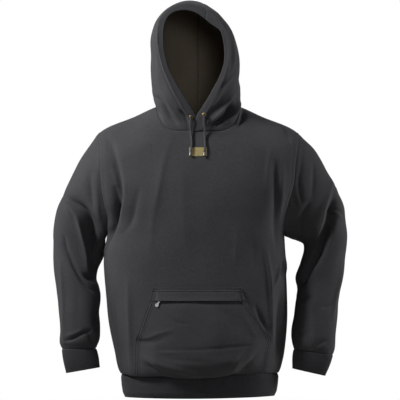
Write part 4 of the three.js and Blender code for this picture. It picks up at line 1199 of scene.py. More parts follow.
    def split(self, along: float) -> tuple[Array, Array]:
        """The arch's two parts, each evenly spaced from the neck to the crown seam."""
        points = self.arch(along)
        seam_x = 21 * (1 - float(smooth(along, 0, 0.8)))
        start = int(self.steps * 0.6)
        middle = start + int(np.argmax(points[start:, 0] > seam_x))
        past = (points[middle, 0] - seam_x) / (points[middle, 0] - points[middle - 1, 0])
        cut = lerp(points[middle], points[middle - 1], past)
        shares = clustered(self.columns, (0.004, 0.01), (0.004, 0.01))
        right = spaced(np.concatenate([points[:middle], cut[None]]), shares)
        left = spaced(np.concatenate([points[middle:][::-1], cut[None]]), shares)
        return right, left

    def whole(self) -> tuple[Array, Array]:
        """The outer points of both halves, from the neck on the wearer's right to the left.

        Returns:
            The points and their outward normals.
        """
        alongs = clustered(90, tuple(0.006 * step for step in range(1, 16)))
        steps = clustered(self.columns, (0.004, 0.01), (0.004, 0.01))
        neck = NECK_HALF / SHOULDER_TIP * np.sin((1 - steps) * np.pi / 2)
        nape = body_points(Face.BACK, np.concatenate([-neck, neck[::-1][1:]]), np.array([2.0]))
        rows = []
        for along in alongs:
            right, left = self.split(min(along, 0.995))
            row = np.concatenate([right, left[::-1][1:]])
            rows.append(lerp(row, nape, float(smooth(along, 0.94, 1.0))))
        grid = np.stack(rows)
        sides = []
        for opening in (self.opening_right, self.opening_left):
            knots = np.array([(x, 0.0, z) for x, z in opening])
            away = unit(knots - np.array([-10.0, 0.0, 130.0])) * smooth(knots[:, 2], -20, 10)[:, None]
            sides.append(spaced(spline(knots + away * self.roll, np.linspace(0, 1, 200)), steps))
        change = np.concatenate([sides[0], sides[1][::-1][1:]]) - grid[0]
        change[:, 1] = 0
        grid = grid + change[None] * (1 - smooth(alongs, 0, 0.2))[:, None, None]
        normals = grid_normals(grid, False, False)
        across = run_along(grid, 1)
        foot = np.minimum(across, across[:, -1:] - across)
        deep = run_along(grid, 0)
        fade = np.clip(foot / 16, 0, 1) * smooth(deep, 12, 30)
        grid = press(grid, normals, self.folds, Face.FRONT, fade)
        grid += normals * (ripple(grid, 95, 33) * 1.3 * fade)[..., None]
        casing = lerp(self.casing_low, self.casing_high, smooth(grid[..., 2], 10, 110))
        band = -4.0 * np.clip(1 - deep / casing, 0, 1) ** 1.3
        band += 1.7 * np.exp(-(((deep - casing - 1.0) / 2.6) ** 2))
        band -= 1.3 * np.exp(-(((deep - casing - 7.0) / 2.8) ** 2))
        grid += normals * (band * np.clip(foot / 12, 0, 1))[..., None]
        middle = grid.shape[1] // 2
        away = np.linalg.norm(grid - grid[0, -1].copy(), axis=2)
        lapped = (np.arange(grid.shape[1]) > middle)[None, :]
        grid[..., 0] += -11 * np.exp(-((away / 32) ** 2)) * lapped
        grid[..., 1] += -4.4 * np.exp(-((away / 46) ** 2)) * lapped
        normals = grid_normals(grid, False, False)
        crown = np.abs(across - across[:, middle : middle + 1])
        grid = grid + normals * (seam_dip(crown, 1.2, 1.8) + stitch_dip(crown, (5.0,)))[..., None]
        return grid, grid_normals(grid, False, False)

    def half(self, side: Wearer, grid: Array, normals: Array) -> Array:
        """One half's outer points, with its allowances and the front edge rolled in."""
        middle = grid.shape[1] // 2
        mine = slice(0, middle + 1) if side is Wearer.RIGHT else slice(None, middle - 1, -1)
        grid, normals = grid[:, mine].copy(), normals[:, mine]
        neck_out = outward(Seam.NECK, grid[:, 0])
        nape_out = outward(Seam.NECK, grid[-1])
        grid += neck_out[:, None] * seam_dip(run_along(grid, 1), 1.2)[..., None]
        grid += nape_out[None] * seam_dip(run_along(grid[::-1], 0)[::-1], 1.2)[..., None]
        self.stitches.append(line_beside(grid, 0, 15.5)[3:])
        self.stitches.append(line_beside(grid, 1, 5.0, True))
        grid = np.concatenate([allowance(grid[:, 0], neck_out)[:, None], grid], axis=1)
        normals = np.concatenate([normals[:, :1], normals], axis=1)
        ahead = unit(grid[0] - grid[1])
        rolled = []
        for angle in np.linspace(np.pi, 0, 7)[:-1]:
            rise = normals[0] * (self.roll * (math.cos(angle) - 1))
            rolled.append(grid[0] + ahead * (self.roll * math.sin(angle)) + rise)
        inner = [grid[k] - normals[k] * (2 * self.roll) for k in (5, 3, 1)]
        nape_out = np.concatenate([nape_out[:1], nape_out])
        return np.concatenate([np.stack(inner), np.stack(rolled), grid, allowance(grid[-1], nape_out)[None]])

    def build(self, looks: Finishes) -> list[tuple[bpy.types.Object, Cloth, str]]:
        """Builds both halves."""
        made = []
        grid, normals = self.whole()
        for side in Wearer:
            word = side.name.lower()
            cloth = Cloth(f"cloth_hood_{word}", self.half(side, grid, normals), False, side is Wearer.LEFT)
            made.append((cloth.build(looks.fleece, looks.lining), cloth, f"hood_{word}"))
        return made


# Pieces that lie on the front ---------------------------------------------------------


class Surface:
    """The outermost face of some pieces, as seen from the front."""

    def __init__(self, pieces: Sequence[bpy.types.Object]) -> None:
        """Gathers the faces of the pieces."""
        points: list[Vector] = []
        faces: list[tuple[int, ...]] = []
        for piece in pieces:
            start = len(points)
            points += [vertex.co / MM for vertex in piece.data.vertices]
            faces += [tuple(start + i for i in polygon.vertices) for polygon in piece.data.polygons]
        self.tree = BVHTree.FromPolygons(points, faces)

    def at(self, x: float, z: float) -> tuple[Vector, Vector]:
        """The point and the normal at a place of the front view, in millimetres."""
        point, normal, _, _ = self.tree.ray_cast(Vector((x, -1000, z)), Vector((0, 1, 0)))
        if point is None:
            raise ValueError(f"nothing lies at {x}, {z}")
        return point, -normal if normal.y > 0 else normal

    def depth(self, x: Array, z: Array) -> Array:
        """How far back the face lies at each place of a grid."""
        return np.array([[self.at(a, b)[0].y for a, b in zip(row, line)] for row, line in zip(x, z)])


@dataclass
class Pocket:
    """The kangaroo pocket, with the flap that covers its zip."""

    outline: Table = Table(
        ("z", "right", "left"),
        (
            (-662, 161, 171),
            (-632, 161, 177),
            (-580, 158, 186),
            (-553, 148, 169),
            (-514, 135, 144),
            (-480, 123, 121),
            (-448, 115, 109),
        ),
    )
    stand: float = 14.0
    mouth_low: float = -580.0
    top: float = -448.0
    flap_low: float = -481.0
    flap_stand: float = 4.8
    zip_right: float = -103.0
    zip_left: float = 105.0
    thick: float = 2.0
    sag: Table = field(default_factory=lambda: Body().sag)
    folds: tuple[Fold, ...] = (
        Fold(((-76, -516), (-60, -531), (-44, -537), (-28, -538)), -2.2, 6, 0.2),
        Fold(((-152, -575), (-127, -575), (-97, -564), (-64, -556)), 2.8, 8, -0.2),
        Fold(((-148, -590), (-110, -584), (-70, -570)), -1.8, 10),
        Fold(((-100, -606), (0, -604.5), (86, -598), (164, -592)), -2.0, 3.6),
        Fold(((-104, -612), (-70, -612), (-30, -610)), 2.0, 4),
        Fold(((-136, -624), (-110, -639), (-67, -650), (-25, -662), (2, -667), (42, -672)), 5.0, 8, 0.2),
        Fold(((-140, -638), (-116, -656), (-92, -672)), -8, 10),
        Fold(((-60, -666), (-20, -676), (30, -680)), -3.0, 9),
        Fold(((150, -618), (128, -642), (104, -664)), -4.5, 11),
        Fold(((118, -606), (102, -636), (84, -664)), 3.0, 9),
        Fold(((-90, -626), (-20, -634), (40, -640)), -2.2, 9),
        Fold(((60, -500), (84, -530), (92, -570)), -1.8, 18),
        Fold(((112, -508), (130, -546), (152, -580)), 2.2, 12),
    )

    def pouch(self, under: Surface) -> Array:
        """The pouch's outer points, from its bottom edge up."""
        up = clustered(64, (0.006, 0.015), (0.006, 0.015))
        beside = tuple(0.0032 * step for step in range(1, 17))
        across = clustered(96, beside, beside)
        z = np.repeat(lerp(-662.0, self.top, up)[:, None], len(across), axis=1)
        reach = self.outline.at(z)
        x = lerp(-reach["right"], reach["left"], across[None, :])
        side = np.minimum(across, 1 - across)[None, :]
        sewn = smooth(side, 0, 0.16)
        open_side = lerp(0.8, 1, smooth(side, 0, 0.3))
        mouth = smooth(z, self.mouth_low - 5, self.mouth_low + 15)
        foot = smooth(z, -662, -628) * (1 - smooth(z, self.flap_low - 20, self.flap_low + 16))
        droop = lerp(1, 0.45, smooth(z, -600, self.flap_low))
        stand = self.stand * foot * lerp(sewn, open_side, mouth) * droop
        z = z - self.sag.at(x)["down"] * 0.75 * (1 - smooth(z, -662, -590))
        y = under.depth(x, np.clip(z, -674 - 0.5 * self.sag.at(x)["down"], 0)) - 0.4 - self.thick - stand
        grid = np.stack([x, y, z], axis=-1)
        normals = grid_normals(grid, False, False)
        edge = np.minimum(run_along(grid, 1), run_along(grid[:, ::-1], 1)[:, ::-1])
        fade = smooth(edge, 0, 16) * smooth(z, -690, -668) * (1 - smooth(z, self.flap_low - 4, self.flap_low + 8))
        grid = press(grid, normals, self.folds, Face.FRONT, fade)
        grid += normals * (ripple(grid, 70, 51) * 0.8 * fade)[..., None]
        welt = 1.1 * (1 - smooth(edge, 12, 15)) + stitch_dip(edge, (3.6, 10.0), 1.7)
        return grid + normals * welt[..., None]

    def flap(self, under: Surface) -> Array:
        """The flap's outer points, from its free edge up."""
        up = clustered(30, (0.03,), (0.03, 0.08))
        beside = tuple(0.005 * step for step in range(1, 15))
        across = clustered(110, beside, beside)
        z = np.repeat(lerp(self.flap_low, self.top, up)[:, None], len(across), axis=1)
        reach = self.outline.at(z)
        x = lerp(0.6 - reach["right"], reach["left"] - 0.6, across[None, :])
        free = smooth(x, self.zip_right - 7, self.zip_right + 4) * (1 - smooth(x, self.zip_left - 4, self.zip_left + 7))
        hang = lerp(0.4, self.flap_stand, free * (1 - up[:, None]) ** 0.8)
        wave = 0.7 * np.sin(x / 19.0) * free * (1 - up[:, None])
        y = under.depth(x, np.clip(z, self.flap_low, self.top - 1)) - hang - wave - 1.8
        grid = np.stack([x, y, z], axis=-1)
        normals = grid_normals(grid, False, False)
        down = (self.top - z)
        edge = np.minimum(run_along(grid, 1), run_along(grid[:, ::-1], 1)[:, ::-1])
        dips = stitch_dip(down, (4.0, 10.5), 1.5) + stitch_dip(edge, (7.0, 13.5), 1.5) * smooth(down, 3, 6)
        return grid + normals * dips[..., None]

    def hem_lines(self, grid: Array) -> list[Array]:
        """The double stitch lines along the pouch's sides."""
        return [line_beside(grid, 1, gap, far)[2:-12] for gap in (3.6, 10.0) for far in (False, True)]

    def flap_lines(self, grid: Array) -> list[Array]:
        """The stitch lines along the flap's top and across its ends."""
        lines = [line_beside(grid, 0, gap, True) for gap in (4.0, 10.5)]
        for far, ends in ((False, (7.0, 13.5)), (True, (7.0, 13.5))):
            lines += [line_beside(grid, 1, gap, far) for gap in ends]
        return lines


@dataclass
class ChestLabel:
    """The woven label on the chest, left without lettering."""

    width: float = 45.0
    height: float = 22.5
    z: float = -102.5
    thick: float = 1.0

    def grid(self, under: Surface) -> Array:
        """The label's outer points."""
        across = clustered(36, (0.01, 0.03), (0.01, 0.03))
        up = clustered(18, (0.02, 0.06), (0.02, 0.06))
        x = np.repeat((self.width * (across - 0.5))[None], len(up), axis=0)
        z = np.repeat((self.z + self.height * (up - 0.5))[:, None], len(across), axis=1)
        y = under.depth(x, z) - 0.3 - self.thick
        grid = np.stack([x, y, z], axis=-1)
        edge = np.minimum(self.width / 2 - np.abs(x), self.height / 2 - np.abs(z - self.z))
        grid[..., 1] -= 0.5 * (1 - np.exp(-edge / 1.2))
        return grid


def turned(name: str, profile: Sequence[tuple[float, float]], sides: int, closed: bool) -> bpy.types.Object:
    """Turns a ring or pin round Z from a circle, edge by edge.

    Args:
        name: the piece's name.
        profile: radius and height of each edge, in millimetres.
        sides: number of sides.
        closed: joins the last edge to the first, as on a ring.

    Returns:
        The piece, upright at the origin.
    """
    bpy.ops.object.select_all(action="DESELECT")
    radius, height = profile[0]
    bpy.ops.mesh.primitive_circle_add(vertices=sides, radius=radius * MM, fill_type="NOTHING", location=(0, 0, height * MM))
    piece = bpy.context.object
    piece.name = name
    bpy.ops.object.transform_apply(location=True)
    bpy.ops.object.mode_set(mode="EDIT")
    bpy.ops.mesh.select_all(action="SELECT")
    for next_radius, next_height in profile[1:]:
        bpy.ops.mesh.extrude_region_move(TRANSFORM_OT_translate={"value": (0, 0, (next_height - height) * MM)})
        scale = next_radius / radius
        bpy.ops.transform.resize(value=(scale, scale, 1), center_override=(0, 0, next_height * MM))
        radius, height = next_radius, next_height
    if not closed:
        bpy.ops.mesh.edge_face_add()
    bpy.ops.mesh.select_all(action="SELECT")
    bpy.ops.mesh.remove_doubles(threshold=0.01 * MM)
    if not closed:
        bpy.ops.mesh.select_all(action="DESELECT")
        bpy.ops.mesh.select_non_manifold()
        bpy.ops.mesh.edge_face_add()
        bpy.ops.mesh.select_all(action="SELECT")
    bpy.ops.mesh.normals_make_consistent(inside=False)
    bpy.ops.object.mode_set(mode="OBJECT")
    return piece


def finish_hard(piece: bpy.types.Object, bevel_mm: float, material: bpy.types.Material, place: Matrix) -> bpy.types.Object:
    """Rounds the edges of a hard piece, gives it its finish and moves its mesh to its place."""
    if bevel_mm > 0:
        bevel = piece.modifiers.new("edges", "BEVEL")
        bevel.width = bevel_mm * MM
        bevel.segments = 2
        bevel.limit_method = "ANGLE"
        bevel.angle_limit = math.radians(35)
        apply_all(piece)
    piece.data.materials.clear()
    piece.data.materials.append(material)
    bpy.ops.object.select_all(action="DESELECT")
    piece.select_set(True)
    bpy.context.view_layer.objects.active = piece
    bpy.ops.object.shade_smooth_by_angle(angle=math.radians(40))
    piece.data.transform(place)
    piece.data.update()
    return piece


@dataclass
class Drawcord:
    """One free end of the drawcord, with its eyelet and its metal tip."""

    side: Wearer
    hole: tuple[float, float]
    route: tuple[tuple[float, float, float], ...]
    width: float = 5.0
    braid_mm: float = 4.6
    tip_length: float = 9.0

    @property
    def word(self) -> str:
        """The side's name."""
        return self.side.name.lower()

    def centre(self, chest: Surface) -> Array:
        """The cord's centre line, out of the eyelet and down the chest."""
        radius = self.width / 2
        seat, out = chest.at(*self.hole)
        points = [seat + out * 0.4, seat + out * 4.8]
        for x, z, off in self.route:
            near = min(chest.at(x + dx, z + dz)[0].y for dx, dz in ((0, 0), (-radius, 0), (radius, 0), (0, -radius), (0, radius)))
            points.append(Vector((x, near - radius - off, z)))
        knots = np.array([tuple(point) for point in points])
        return spaced(spline(knots, np.linspace(0, 1, 300)), np.linspace(0, 1, 181))

    def braid(self, line: Array, looks: Finishes) -> bpy.types.Object:
        """The braided tube along its centre line."""
        sides = 20
        tangent = unit(np.gradient(line, axis=0))
        across = unit(np.cross(tangent, np.array([0.0, -1.0, 0.3])))
        normal = np.cross(across, tangent)
        run = np.concatenate([[0], np.cumsum(np.linalg.norm(np.diff(line, axis=0), axis=1))])
        angle = 2 * np.pi * np.arange(sides) / sides
        turn = 2 * np.pi * run[:, None] / self.braid_mm
        over = np.maximum(np.cos(5 * angle[None] + turn), np.cos(5 * angle[None] - turn))
        radius = self.width / 2 - 0.28 + 0.3 * over
        ring = across[:, None] * np.cos(angle)[None, :, None] + normal[:, None] * np.sin(angle)[None, :, None]
        grid = line[:, None] + ring * radius[..., None]
        faces = grid_faces(len(line), sides, True, False)
        faces.append(tuple(range(sides))[::-1])
        faces.append(tuple((len(line) - 1) * sides + j for j in range(sides)))
        piece = make_object(f"braided_cord_{self.word}", grid.reshape(-1, 3), [face[::-1] for face in faces], [looks.braid])
        return piece

    def tip(self, line: Array, looks: Finishes) -> bpy.types.Object:
        """The crimped metal tip, a tube with a rolled rim at both ends."""
        radius, long = 2.7, self.tip_length
        profile = (
            (radius - 0.5, 0.0),
            (radius - 0.1, 0.15),
            (radius, 0.5),
            (radius - 0.05, 1.1),
            (radius - 0.28, 1.4),
            (radius - 0.28, 1.9),
            (radius - 0.04, 2.2),
            (radius - 0.04, long - 1.2),
            (radius - 0.1, long - 0.5),
            (radius - 0.5, long - 0.1),
            (radius - 1.1, long),
        )
        piece = turned(f"metal_cord_tip_{self.word}", profile, 32, False)
        way = Vector(line[-1] - line[-2]).normalized()
        place = Vector(line[-1] * MM) + way * (0.3 * MM)
        turn = Vector((0, 0, 1)).rotation_difference(way).to_matrix().to_4x4()
        return finish_hard(piece, 0, looks.steel, Matrix.Translation(place) @ turn)

    def eyelet(self, chest: Surface, looks: Finishes) -> bpy.types.Object:
        """The pressed brass eyelet with its rolled inner rim."""
        profile = (
            (2.9, 0.0),
            (5.2, 0.0),
            (5.15, 0.35),
            (4.9, 0.75),
            (4.4, 1.1),
            (3.9, 1.3),
            (3.4, 1.25),
            (3.05, 0.95),
            (2.9, 0.5),
            (2.9, 0.0),
        )
        piece = turned(f"brass_eyelet_{self.word}", profile, 48, True)
        seat, out = chest.at(*self.hole)
        turn = Vector((0, 0, 1)).rotation_difference(out).to_matrix().to_4x4()
        return finish_hard(piece, 0, looks.brass, Matrix.Translation((seat + out * 0.7) * MM) @ turn)


@dataclass
class ZipChain:
    """The zip under the flap, closed from its slider to the pocket's other end."""

    right: float = -90.0
    left: float = 104.0
    z: float = -476.0
    tape_high: float = 11.0
    tape_thick: float = 0.5
    pitch: float = 1.5
    tooth: tuple[float, float, float] = (1.2, 1.5, 2.6)
    apart: float = 0.7

    def tape(self, pocket: Surface) -> Array:
        """The tape's outer points, on the face of the pouch."""
        x, z = np.meshgrid(
            np.linspace(self.right - 10, self.left, 90),
            np.linspace(self.z - self.tape_high / 2, self.z + self.tape_high / 2, 5),
        )
        return np.stack([x, pocket.depth(x, z) - 0.1 - self.tape_thick, z], axis=-1)

    def teeth(self, pocket: Surface, looks: Finishes) -> bpy.types.Object:
        """The two rows of teeth, which mesh along the middle of the tape."""
        bpy.ops.object.select_all(action="DESELECT")
        bpy.ops.mesh.primitive_cube_add(size=1)
        first = bpy.context.object
        first.scale = [side * MM for side in self.tooth]
        bpy.ops.object.transform_apply(scale=True)
        bevel = first.modifiers.new("edges", "BEVEL")
        bevel.width = 0.25 * MM
        bevel.segments = 1
        apply_all(first)
        shape = np.array([vertex.co for vertex in first.data.vertices]) / MM
        sides = [tuple(face.vertices) for face in first.data.polygons]
        bpy.data.objects.remove(first)
        points, faces = [], []
        for number, x in enumerate(np.arange(self.right, self.left - 2, self.pitch)):
            seat, out = (np.array(v) for v in pocket.at(x, self.z))
            up = unit(np.array([0.0, 0.0, 1.0]) - out * out[2])
            local = shape @ np.stack([np.cross(up, out), -out, up])
            middle = seat + out * (self.tape_thick + 0.1 + self.tooth[1] / 2 - 0.2)
            points.append(local + middle + up * (self.apart if number % 2 else -self.apart))
            faces += [tuple(number * len(shape) + i for i in side) for side in sides]
        return make_object("zip_teeth", np.concatenate(points), faces, [looks.steel])


# Thread -------------------------------------------------------------------------------


@dataclass
class Stitching:
    """Lines of lockstitch: short threads that sink into the cloth at both ends."""

    long: float = 2.9
    gap: float = 0.8
    wide: float = 0.85
    high: float = 0.45

    def thread(self) -> tuple[Array, list[tuple[int, ...]]]:
        """One stitch along X, as points and faces."""
        rings = ((-0.5, 0.25, -0.5), (-0.3, 0.8, 0.45), (0.0, 1.0, 0.75), (0.3, 0.8, 0.45), (0.5, 0.25, -0.5))
        points = []
        for along, thick, lift in rings:
            for k in range(5):
                angle = 2 * math.pi * k / 5
                points.append((along * self.long, thick * self.wide / 2 * math.cos(angle), lift * self.high + thick * self.high / 2 * math.sin(angle)))
        faces = grid_faces(len(rings), 5, True, False)
        faces.append(tuple(range(5))[::-1])
        faces.append(tuple(20 + k for k in range(5)))
        return np.array(points), [face[::-1] for face in faces]

    def sew(self, name: str, lines: Sequence[Array], on: Surface | BVHTree, material: bpy.types.Material) -> bpy.types.Object:
        """Sews lines of stitches onto the nearest cloth.

        Args:
            name: the piece's name.
            lines: the paths, in millimetres.
            on: the faces that the stitches lie on.
            material: the thread.

        Returns:
            All stitches as one piece.
        """
        shape, faces = self.thread()
        points, all_faces = [], []
        for line in lines:
            length = np.linalg.norm(np.diff(line, axis=0), axis=1).sum()
            count = int(length / (self.long + self.gap))
            if count < 1:
                continue
            marks = spaced(line, np.linspace(0, 1, 2 * count + 1))
            for middle, ahead in zip(marks[1::2], marks[2::2]):
                near, normal, _, _ = on.tree.find_nearest(Vector(middle))
                if near is None:
                    continue
                out = np.array(normal)
                if out @ (middle - np.array(near)) < -1e-3:
                    out = -out
                along = unit(ahead - middle)
                out = unit(out - along * (out @ along))
                side = np.cross(out, along)
                start = sum(len(part) for part in points)
                local = shape @ np.stack([along, side, out])
                points.append(np.array(near) + local)
                all_faces += [tuple(start + i for i in face) for face in faces]
        return make_object(name, np.concatenate(points), all_faces, [material])


# Camera, light and floor --------------------------------------------------------------


@dataclass
class Studio:
    """A pale floor, soft light from the upper left, and the camera."""

    aim: tuple[float, float, float] = (0.005, 0.0, -0.225)
    field_m: float = 1.024
    away: float = 16.0
    room_light: float = 0.045

    def camera(self) -> None:
        """Places the camera level in front of the garment."""
        data = bpy.data.cameras.new("camera")
        data.sensor_width = 36
        data.lens = 36 * self.away / self.field_m
        data.clip_end = 60
        eye = bpy.data.objects.new("camera", data)
        bpy.context.collection.objects.link(eye)
        eye.location = (self.aim[0], -self.away, self.aim[2])
        eye.rotation_euler = (math.pi / 2, 0, 0)
        bpy.context.scene.camera = eye

    def light(self, name: str, place: Sequence[float], size: float, watts: float, aim: Sequence[float] = (0, 0, -0.2),
              spread: float = 180) -> None:
        """Adds a square soft light that faces the garment; spread is its beam's angle in degrees."""
        data = bpy.data.lights.new(name, "AREA")
        data.size = size
        data.energy = watts
        data.spread = math.radians(spread)
        lamp = bpy.data.objects.new(name, data)
        bpy.context.collection.objects.link(lamp)
        lamp.location = place
        toward = Vector(aim) - Vector(place)
        lamp.rotation_euler = toward.to_track_quat("-Z", "Y").to_euler()

    def build(self) -> None:
        """Builds the floor, the lights and the room's light."""
        scene = bpy.context.scene
        scene.view_settings.view_transform = "Standard"
        scene.view_settings.look = "None"
        world = bpy.data.worlds.new("pale_room")
        scene.world = world
        world.use_nodes = True
        tree = world.node_tree
        back = tree.nodes["Background"]
        back.inputs["Color"].default_value = (1, 1, 1, 1)
        seen = tree.nodes.new("ShaderNodeLightPath")
        amount = tree.nodes.new("ShaderNodeMapRange")
        amount.inputs["To Min"].default_value = self.room_light
        amount.inputs["To Max"].default_value = 1.0
        tree.links.new(seen.outputs["Is Camera Ray"], amount.inputs["Value"])
        tree.links.new(amount.outputs["Result"], back.inputs["Strength"])
        self.light("key", (-2.2, -1.25, 1.7), 0.7, 21, (-0.1, 0, 0.12), 62)
        self.light("front", (0.9, -5.5, 0.9), 1.6, 3.2, (0.05, 0, 0.0), 34)
        self.light("back", (0.8, 3.8, 1.4), 1.4, 22)
        self.light("left_strip", (-3.6, 0.9, 0.0), 1.2, 75)
        self.light("right_strip", (3.8, 0.4, 0.2), 1.0, 130)
        bpy.ops.object.select_all(action="DESELECT")
        bpy.ops.mesh.primitive_circle_add(vertices=96, radius=1.5, fill_type="NGON", location=(0, 0, -1.45))
        floor = bpy.context.object
        floor.name = "floor"
        nodes = Nodes("pale_floor")
        nodes.plain(Base_Color=linear("d8d8d5"), Roughness=0.8)
        floor.data.materials.append(nodes.material)


SLEEVE_RIGHT = Sleeve(
    side=Wearer.RIGHT,
    rings=(
        (-301, -124, -236, -326, 8, 71),
        (-336, -190, -236, -338, 22, 69),
        (-362, -246, -237, -355, 33, 66),
        (-372, -298, -241, -374, 36, 63),
        (-372, -348, -250, -398, 31, 60),
        (-369, -404, -257, -424, 20, 58),
        (-362, -461, -250, -468, 6, 55),
        (-356, -512, -251, -512, -8, 51),
        (-352, -558, -249, -552, -20, 46),
        (-353, -590, -252, -584, -28, 39),
        (-348, -605, -260, -604, -31, 27),
    ),
    cuff_end=(-337, -666, -251, -651, -36, 18),
    folds=(
        Fold(
            ((-338, -224), (-318, -235), (-300, -250), (-286, -271), (-275, -296), (-267, -322), (-261, -350), (-257, -384), (-255, -422)),
            -27,
            17,
            -0.15,
        ),
        Fold(((-345, -228), (-326, -244), (-311, -263), (-302, -290), (-295, -322), (-289, -352), (-286, -384), (-283, -410)), 8, 7.5, 0.15),
        Fold(((-341, -320), (-337, -348), (-325, -376), (-312, -402), (-298, -425), (-278, -447), (-258, -460)), -8, 6, 0.2),
        Fold(((-292, -414), (-276, -424), (-258, -430)), -9, 8),
        Fold(((-340, -240), (-332, -256), (-323, -274)), 2.5, 4),
        Fold(((-274, -150), (-274, -200), (-268, -244)), -5, 11),
        Fold(((-258, -150), (-256, -210), (-252, -270)), 3.5, 9),
        Fold(((-256, -80), (-262, -120), (-260, -160)), -3, 9),
        Fold(((-340, -584), (-322, -580), (-300, -569), (-276, -560)), -5.5, 5.5, -0.2),
        Fold(((-336, -572), (-316, -566), (-296, -556)), 3, 7),
        Fold(((-252, -500), (-260, -530), (-256, -560)), -6, 9),
        Fold(((-286, -560), (-270, -580), (-262, -600)), -5, 10),
        Fold(((-352, -380), (-347, -450), (-343, -530), (-344, -590)), 4, 7),
        Fold(((-310, -450), (-306, -500), (-312, -550)), -1.8, 18),
    ),
    back_folds=(
        Fold(((-346, -230), (-310, -270), (-272, -330), (-258, -400)), -9, 14),
        Fold(((-366, -330), (-330, -372), (-290, -410)), -5, 12),
        Fold(((-356, -480), (-320, -510), (-270, -520)), -5, 12),
        Fold(((-340, -560), (-310, -572), (-280, -570)), -4, 10),
    ),
)
SLEEVE_LEFT = Sleeve(
    side=Wearer.LEFT,
    rings=(
        (303, -102, 230, -321, 10, 72),
        (330, -150, 240, -325, 18, 70),
        (356, -196, 254, -329, 24, 68),
        (374, -244, 268, -337, 27, 65),
        (382, -296, 269, -352, 27, 62),
        (380, -348, 260, -382, 22, 60),
        (373, -404, 247, -424, 14, 58),
        (364, -462, 252, -462, 4, 54),
        (358, -512, 246, -516, -8, 51),
        (352, -562, 239, -556, -20, 46),
        (350, -602, 241, -590, -28, 39),
        (345, -620, 244, -606, -31, 27),
    ),
    cuff_end=(325, -673, 241, -654, -36, 18),
    folds=(
        Fold(
            ((352, -214), (347, -248), (340, -284), (330, -314), (320, -336), (304, -369), (284, -399), (265, -430), (250, -452)),
            -26,
            15,
            0.42,
        ),
        Fold(((343, -183), (334, -216), (325, -248), (317, -282), (307, -314), (298, -342), (286, -366)), 8.5, 7, 0.25),
        Fold(((266, -70), (266, -104), (262, -142), (256, -174), (259, -204), (264, -230)), -7, 6.5),
        Fold(((256, -66), (264, -70), (274, -63)), -2.5, 4),
        Fold(((240, -205), (243, -222), (250, -238)), -6, 8),
        Fold(((294, -118), (296, -165), (290, -224)), -3.5, 11),
        Fold(((282, -234), (270, -256), (264, -282), (261, -306)), -4.5, 7),
        Fold(((332, -256), (347, -248), (362, -252), (374, -264)), -6.5, 6, 0.2),
        Fold(((336, -268), (352, -262), (368, -270)), 3.5, 8),
        Fold(((372, -388), (363, -432), (354, -464), (349, -492), (344, -530)), 4.5, 6),
        Fold(((256, -478), (276, -474), (296, -474)), -4.5, 7),
        Fold(((314, -499), (328, -495), (346, -487)), -2.5, 6),
        Fold(((298, -602), (310, -590), (330, -582)), -3.5, 9),
        Fold(((246, -560), (262, -566), (286, -562)), -3, 9),
        Fold(((290, -500), (294, -540), (304, -580)), 1.8, 14),
    ),
    back_folds=(
        Fold(((350, -230), (320, -276), (290, -330), (262, -400)), -9, 14),
        Fold(((372, -330), (330, -380), (280, -410)), -5, 12),
        Fold(((356, -490), (310, -516), (262, -520)), -5, 12),
        Fold(((340, -570), (300, -584), (262, -570)), -4, 10),
    ),
)


CORDS = (
    Drawcord(
        side=Wearer.RIGHT,
        hole=(-18.2, -14),
        route=(
            (-19, -21.5, 3.2),
            (-19.5, -33, 3.4),
            (-19, -43, 2.6),
            (-18.2, -58, 2.2),
            (-16.4, -71, 1.4),
            (-16, -79, 1),
            (-17.2, -93, 1),
            (-19, -103, 1),
        ),
    ),
    Drawcord(
        side=Wearer.LEFT,
        hole=(15.4, -8),
        route=(
            (14.8, -15.5, 3.2),
            (14.6, -28, 3.4),
            (16.8, -43, 2.6),
            (16.2, -61, 2.2),
            (17.4, -77, 1.2),
            (17.6, -91, 1),
            (15.8, -104, 1),
        ),
    ),
)


def declare(piece: bpy.types.Object, cloth: Cloth, node: str) -> None:
    """Puts a cut piece of cloth on the frame in place of its solid.

    Args:
        piece: the finished piece.
        cloth: its grid, which gives the cut's size.
        node: the solid that it replaces.
    """
    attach(piece, "hoodie")
    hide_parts(node)
    width, height, area = cloth.flat_size()
    LOG.info("%s: %.3f by %.3f m, %.3f m2, %d faces", node, width, height, area, len(piece.data.polygons))


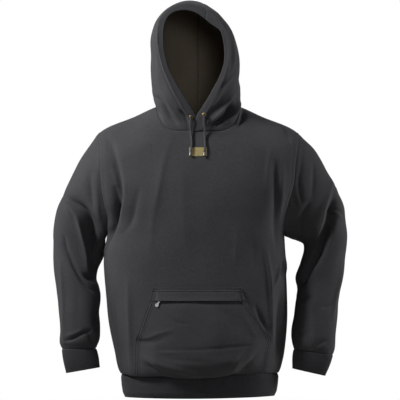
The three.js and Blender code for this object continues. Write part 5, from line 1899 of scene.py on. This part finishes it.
def main() -> None:
    """Builds the pieces in order and puts them on the frame."""
    logging.basicConfig(level=logging.INFO, format="%(name)s %(message)s")
    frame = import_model()
    studio = Studio()
    studio.camera()
    looks = Finishes()
    made = {}
    lines = []
    parts = (Body(), Hem(), SLEEVE_RIGHT, SLEEVE_LEFT, Hood())
    for part in parts:
        for piece, cloth, node in part.build(looks):
            made[node] = piece
            declare(piece, cloth, node)
        lines += getattr(part, "stitches", [])
    front = Surface([made["front_panel"]])
    pocket = Pocket()
    pouch = Cloth("cloth_pocket", pocket.pouch(front), False, False, pocket.thick)
    made["pocket"] = pouch.build(looks.fleece, looks.lining)
    declare(made["pocket"], pouch, "pocket")
    flap = Cloth("cloth_pocket_flap", pocket.flap(Surface([made["pocket"], made["front_panel"]])), False, False, 1.8)
    made["pocket_flap"] = flap.build(looks.fleece, looks.lining)
    declare(made["pocket_flap"], flap, "pocket_flap")
    chain = ZipChain()
    pouch_face = Surface([made["pocket"]])
    tape = Cloth("woven_zip_tape", chain.tape(pouch_face), False, False, chain.tape_thick)
    tape_piece = tape.build(looks.tape, looks.tape)
    teeth = chain.teeth(pouch_face, looks)
    for piece, slot in ((tape_piece, "fleece"), (teeth, "steel")):
        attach(piece, "hoodie")
    width, height, _ = tape.flat_size()
    label = ChestLabel()
    woven = Cloth("woven_label", label.grid(front), False, False, label.thick)
    made["label"] = woven.build(looks.label, looks.label)
    declare(made["label"], woven, "label")

    chest = Surface([made[name] for name in ("hood_right", "hood_left", "front_panel", "label")])
    for cord in CORDS:
        line = cord.centre(chest)
        pieces = (
            (cord.braid(line, looks), f"drawcord_{cord.word}", "braid"),
            (cord.tip(line, looks), f"cord_tip_{cord.word}", "steel"),
            (cord.eyelet(chest, looks), f"eyelet_{cord.word}", "brass"),
        )
        for piece, node, slot in pieces:
            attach(piece, "hoodie")
            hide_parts(node)
            LOG.info("%s: %d faces", piece.name, len(piece.data.polygons))

    lines += pocket.hem_lines(pouch.grid) + pocket.flap_lines(flap.grid)
    cloths = [made[name] for name in made if name != "label" and "cuff" not in name and name != "hem_band"]
    seams = Stitching().sew("seam_stitches", lines, Surface(cloths), looks.thread)
    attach(seams, "hoodie")
    LOG.info("%s: %d faces", seams.name, len(seams.data.polygons))
    for node in ("zip_slider", "zip_pull"):
        mesh = frame["nodes"][node].data
        for i in range(len(mesh.materials)):
            mesh.materials[i] = looks.steel
    studio.build()


if __name__ == "__main__":
    main()
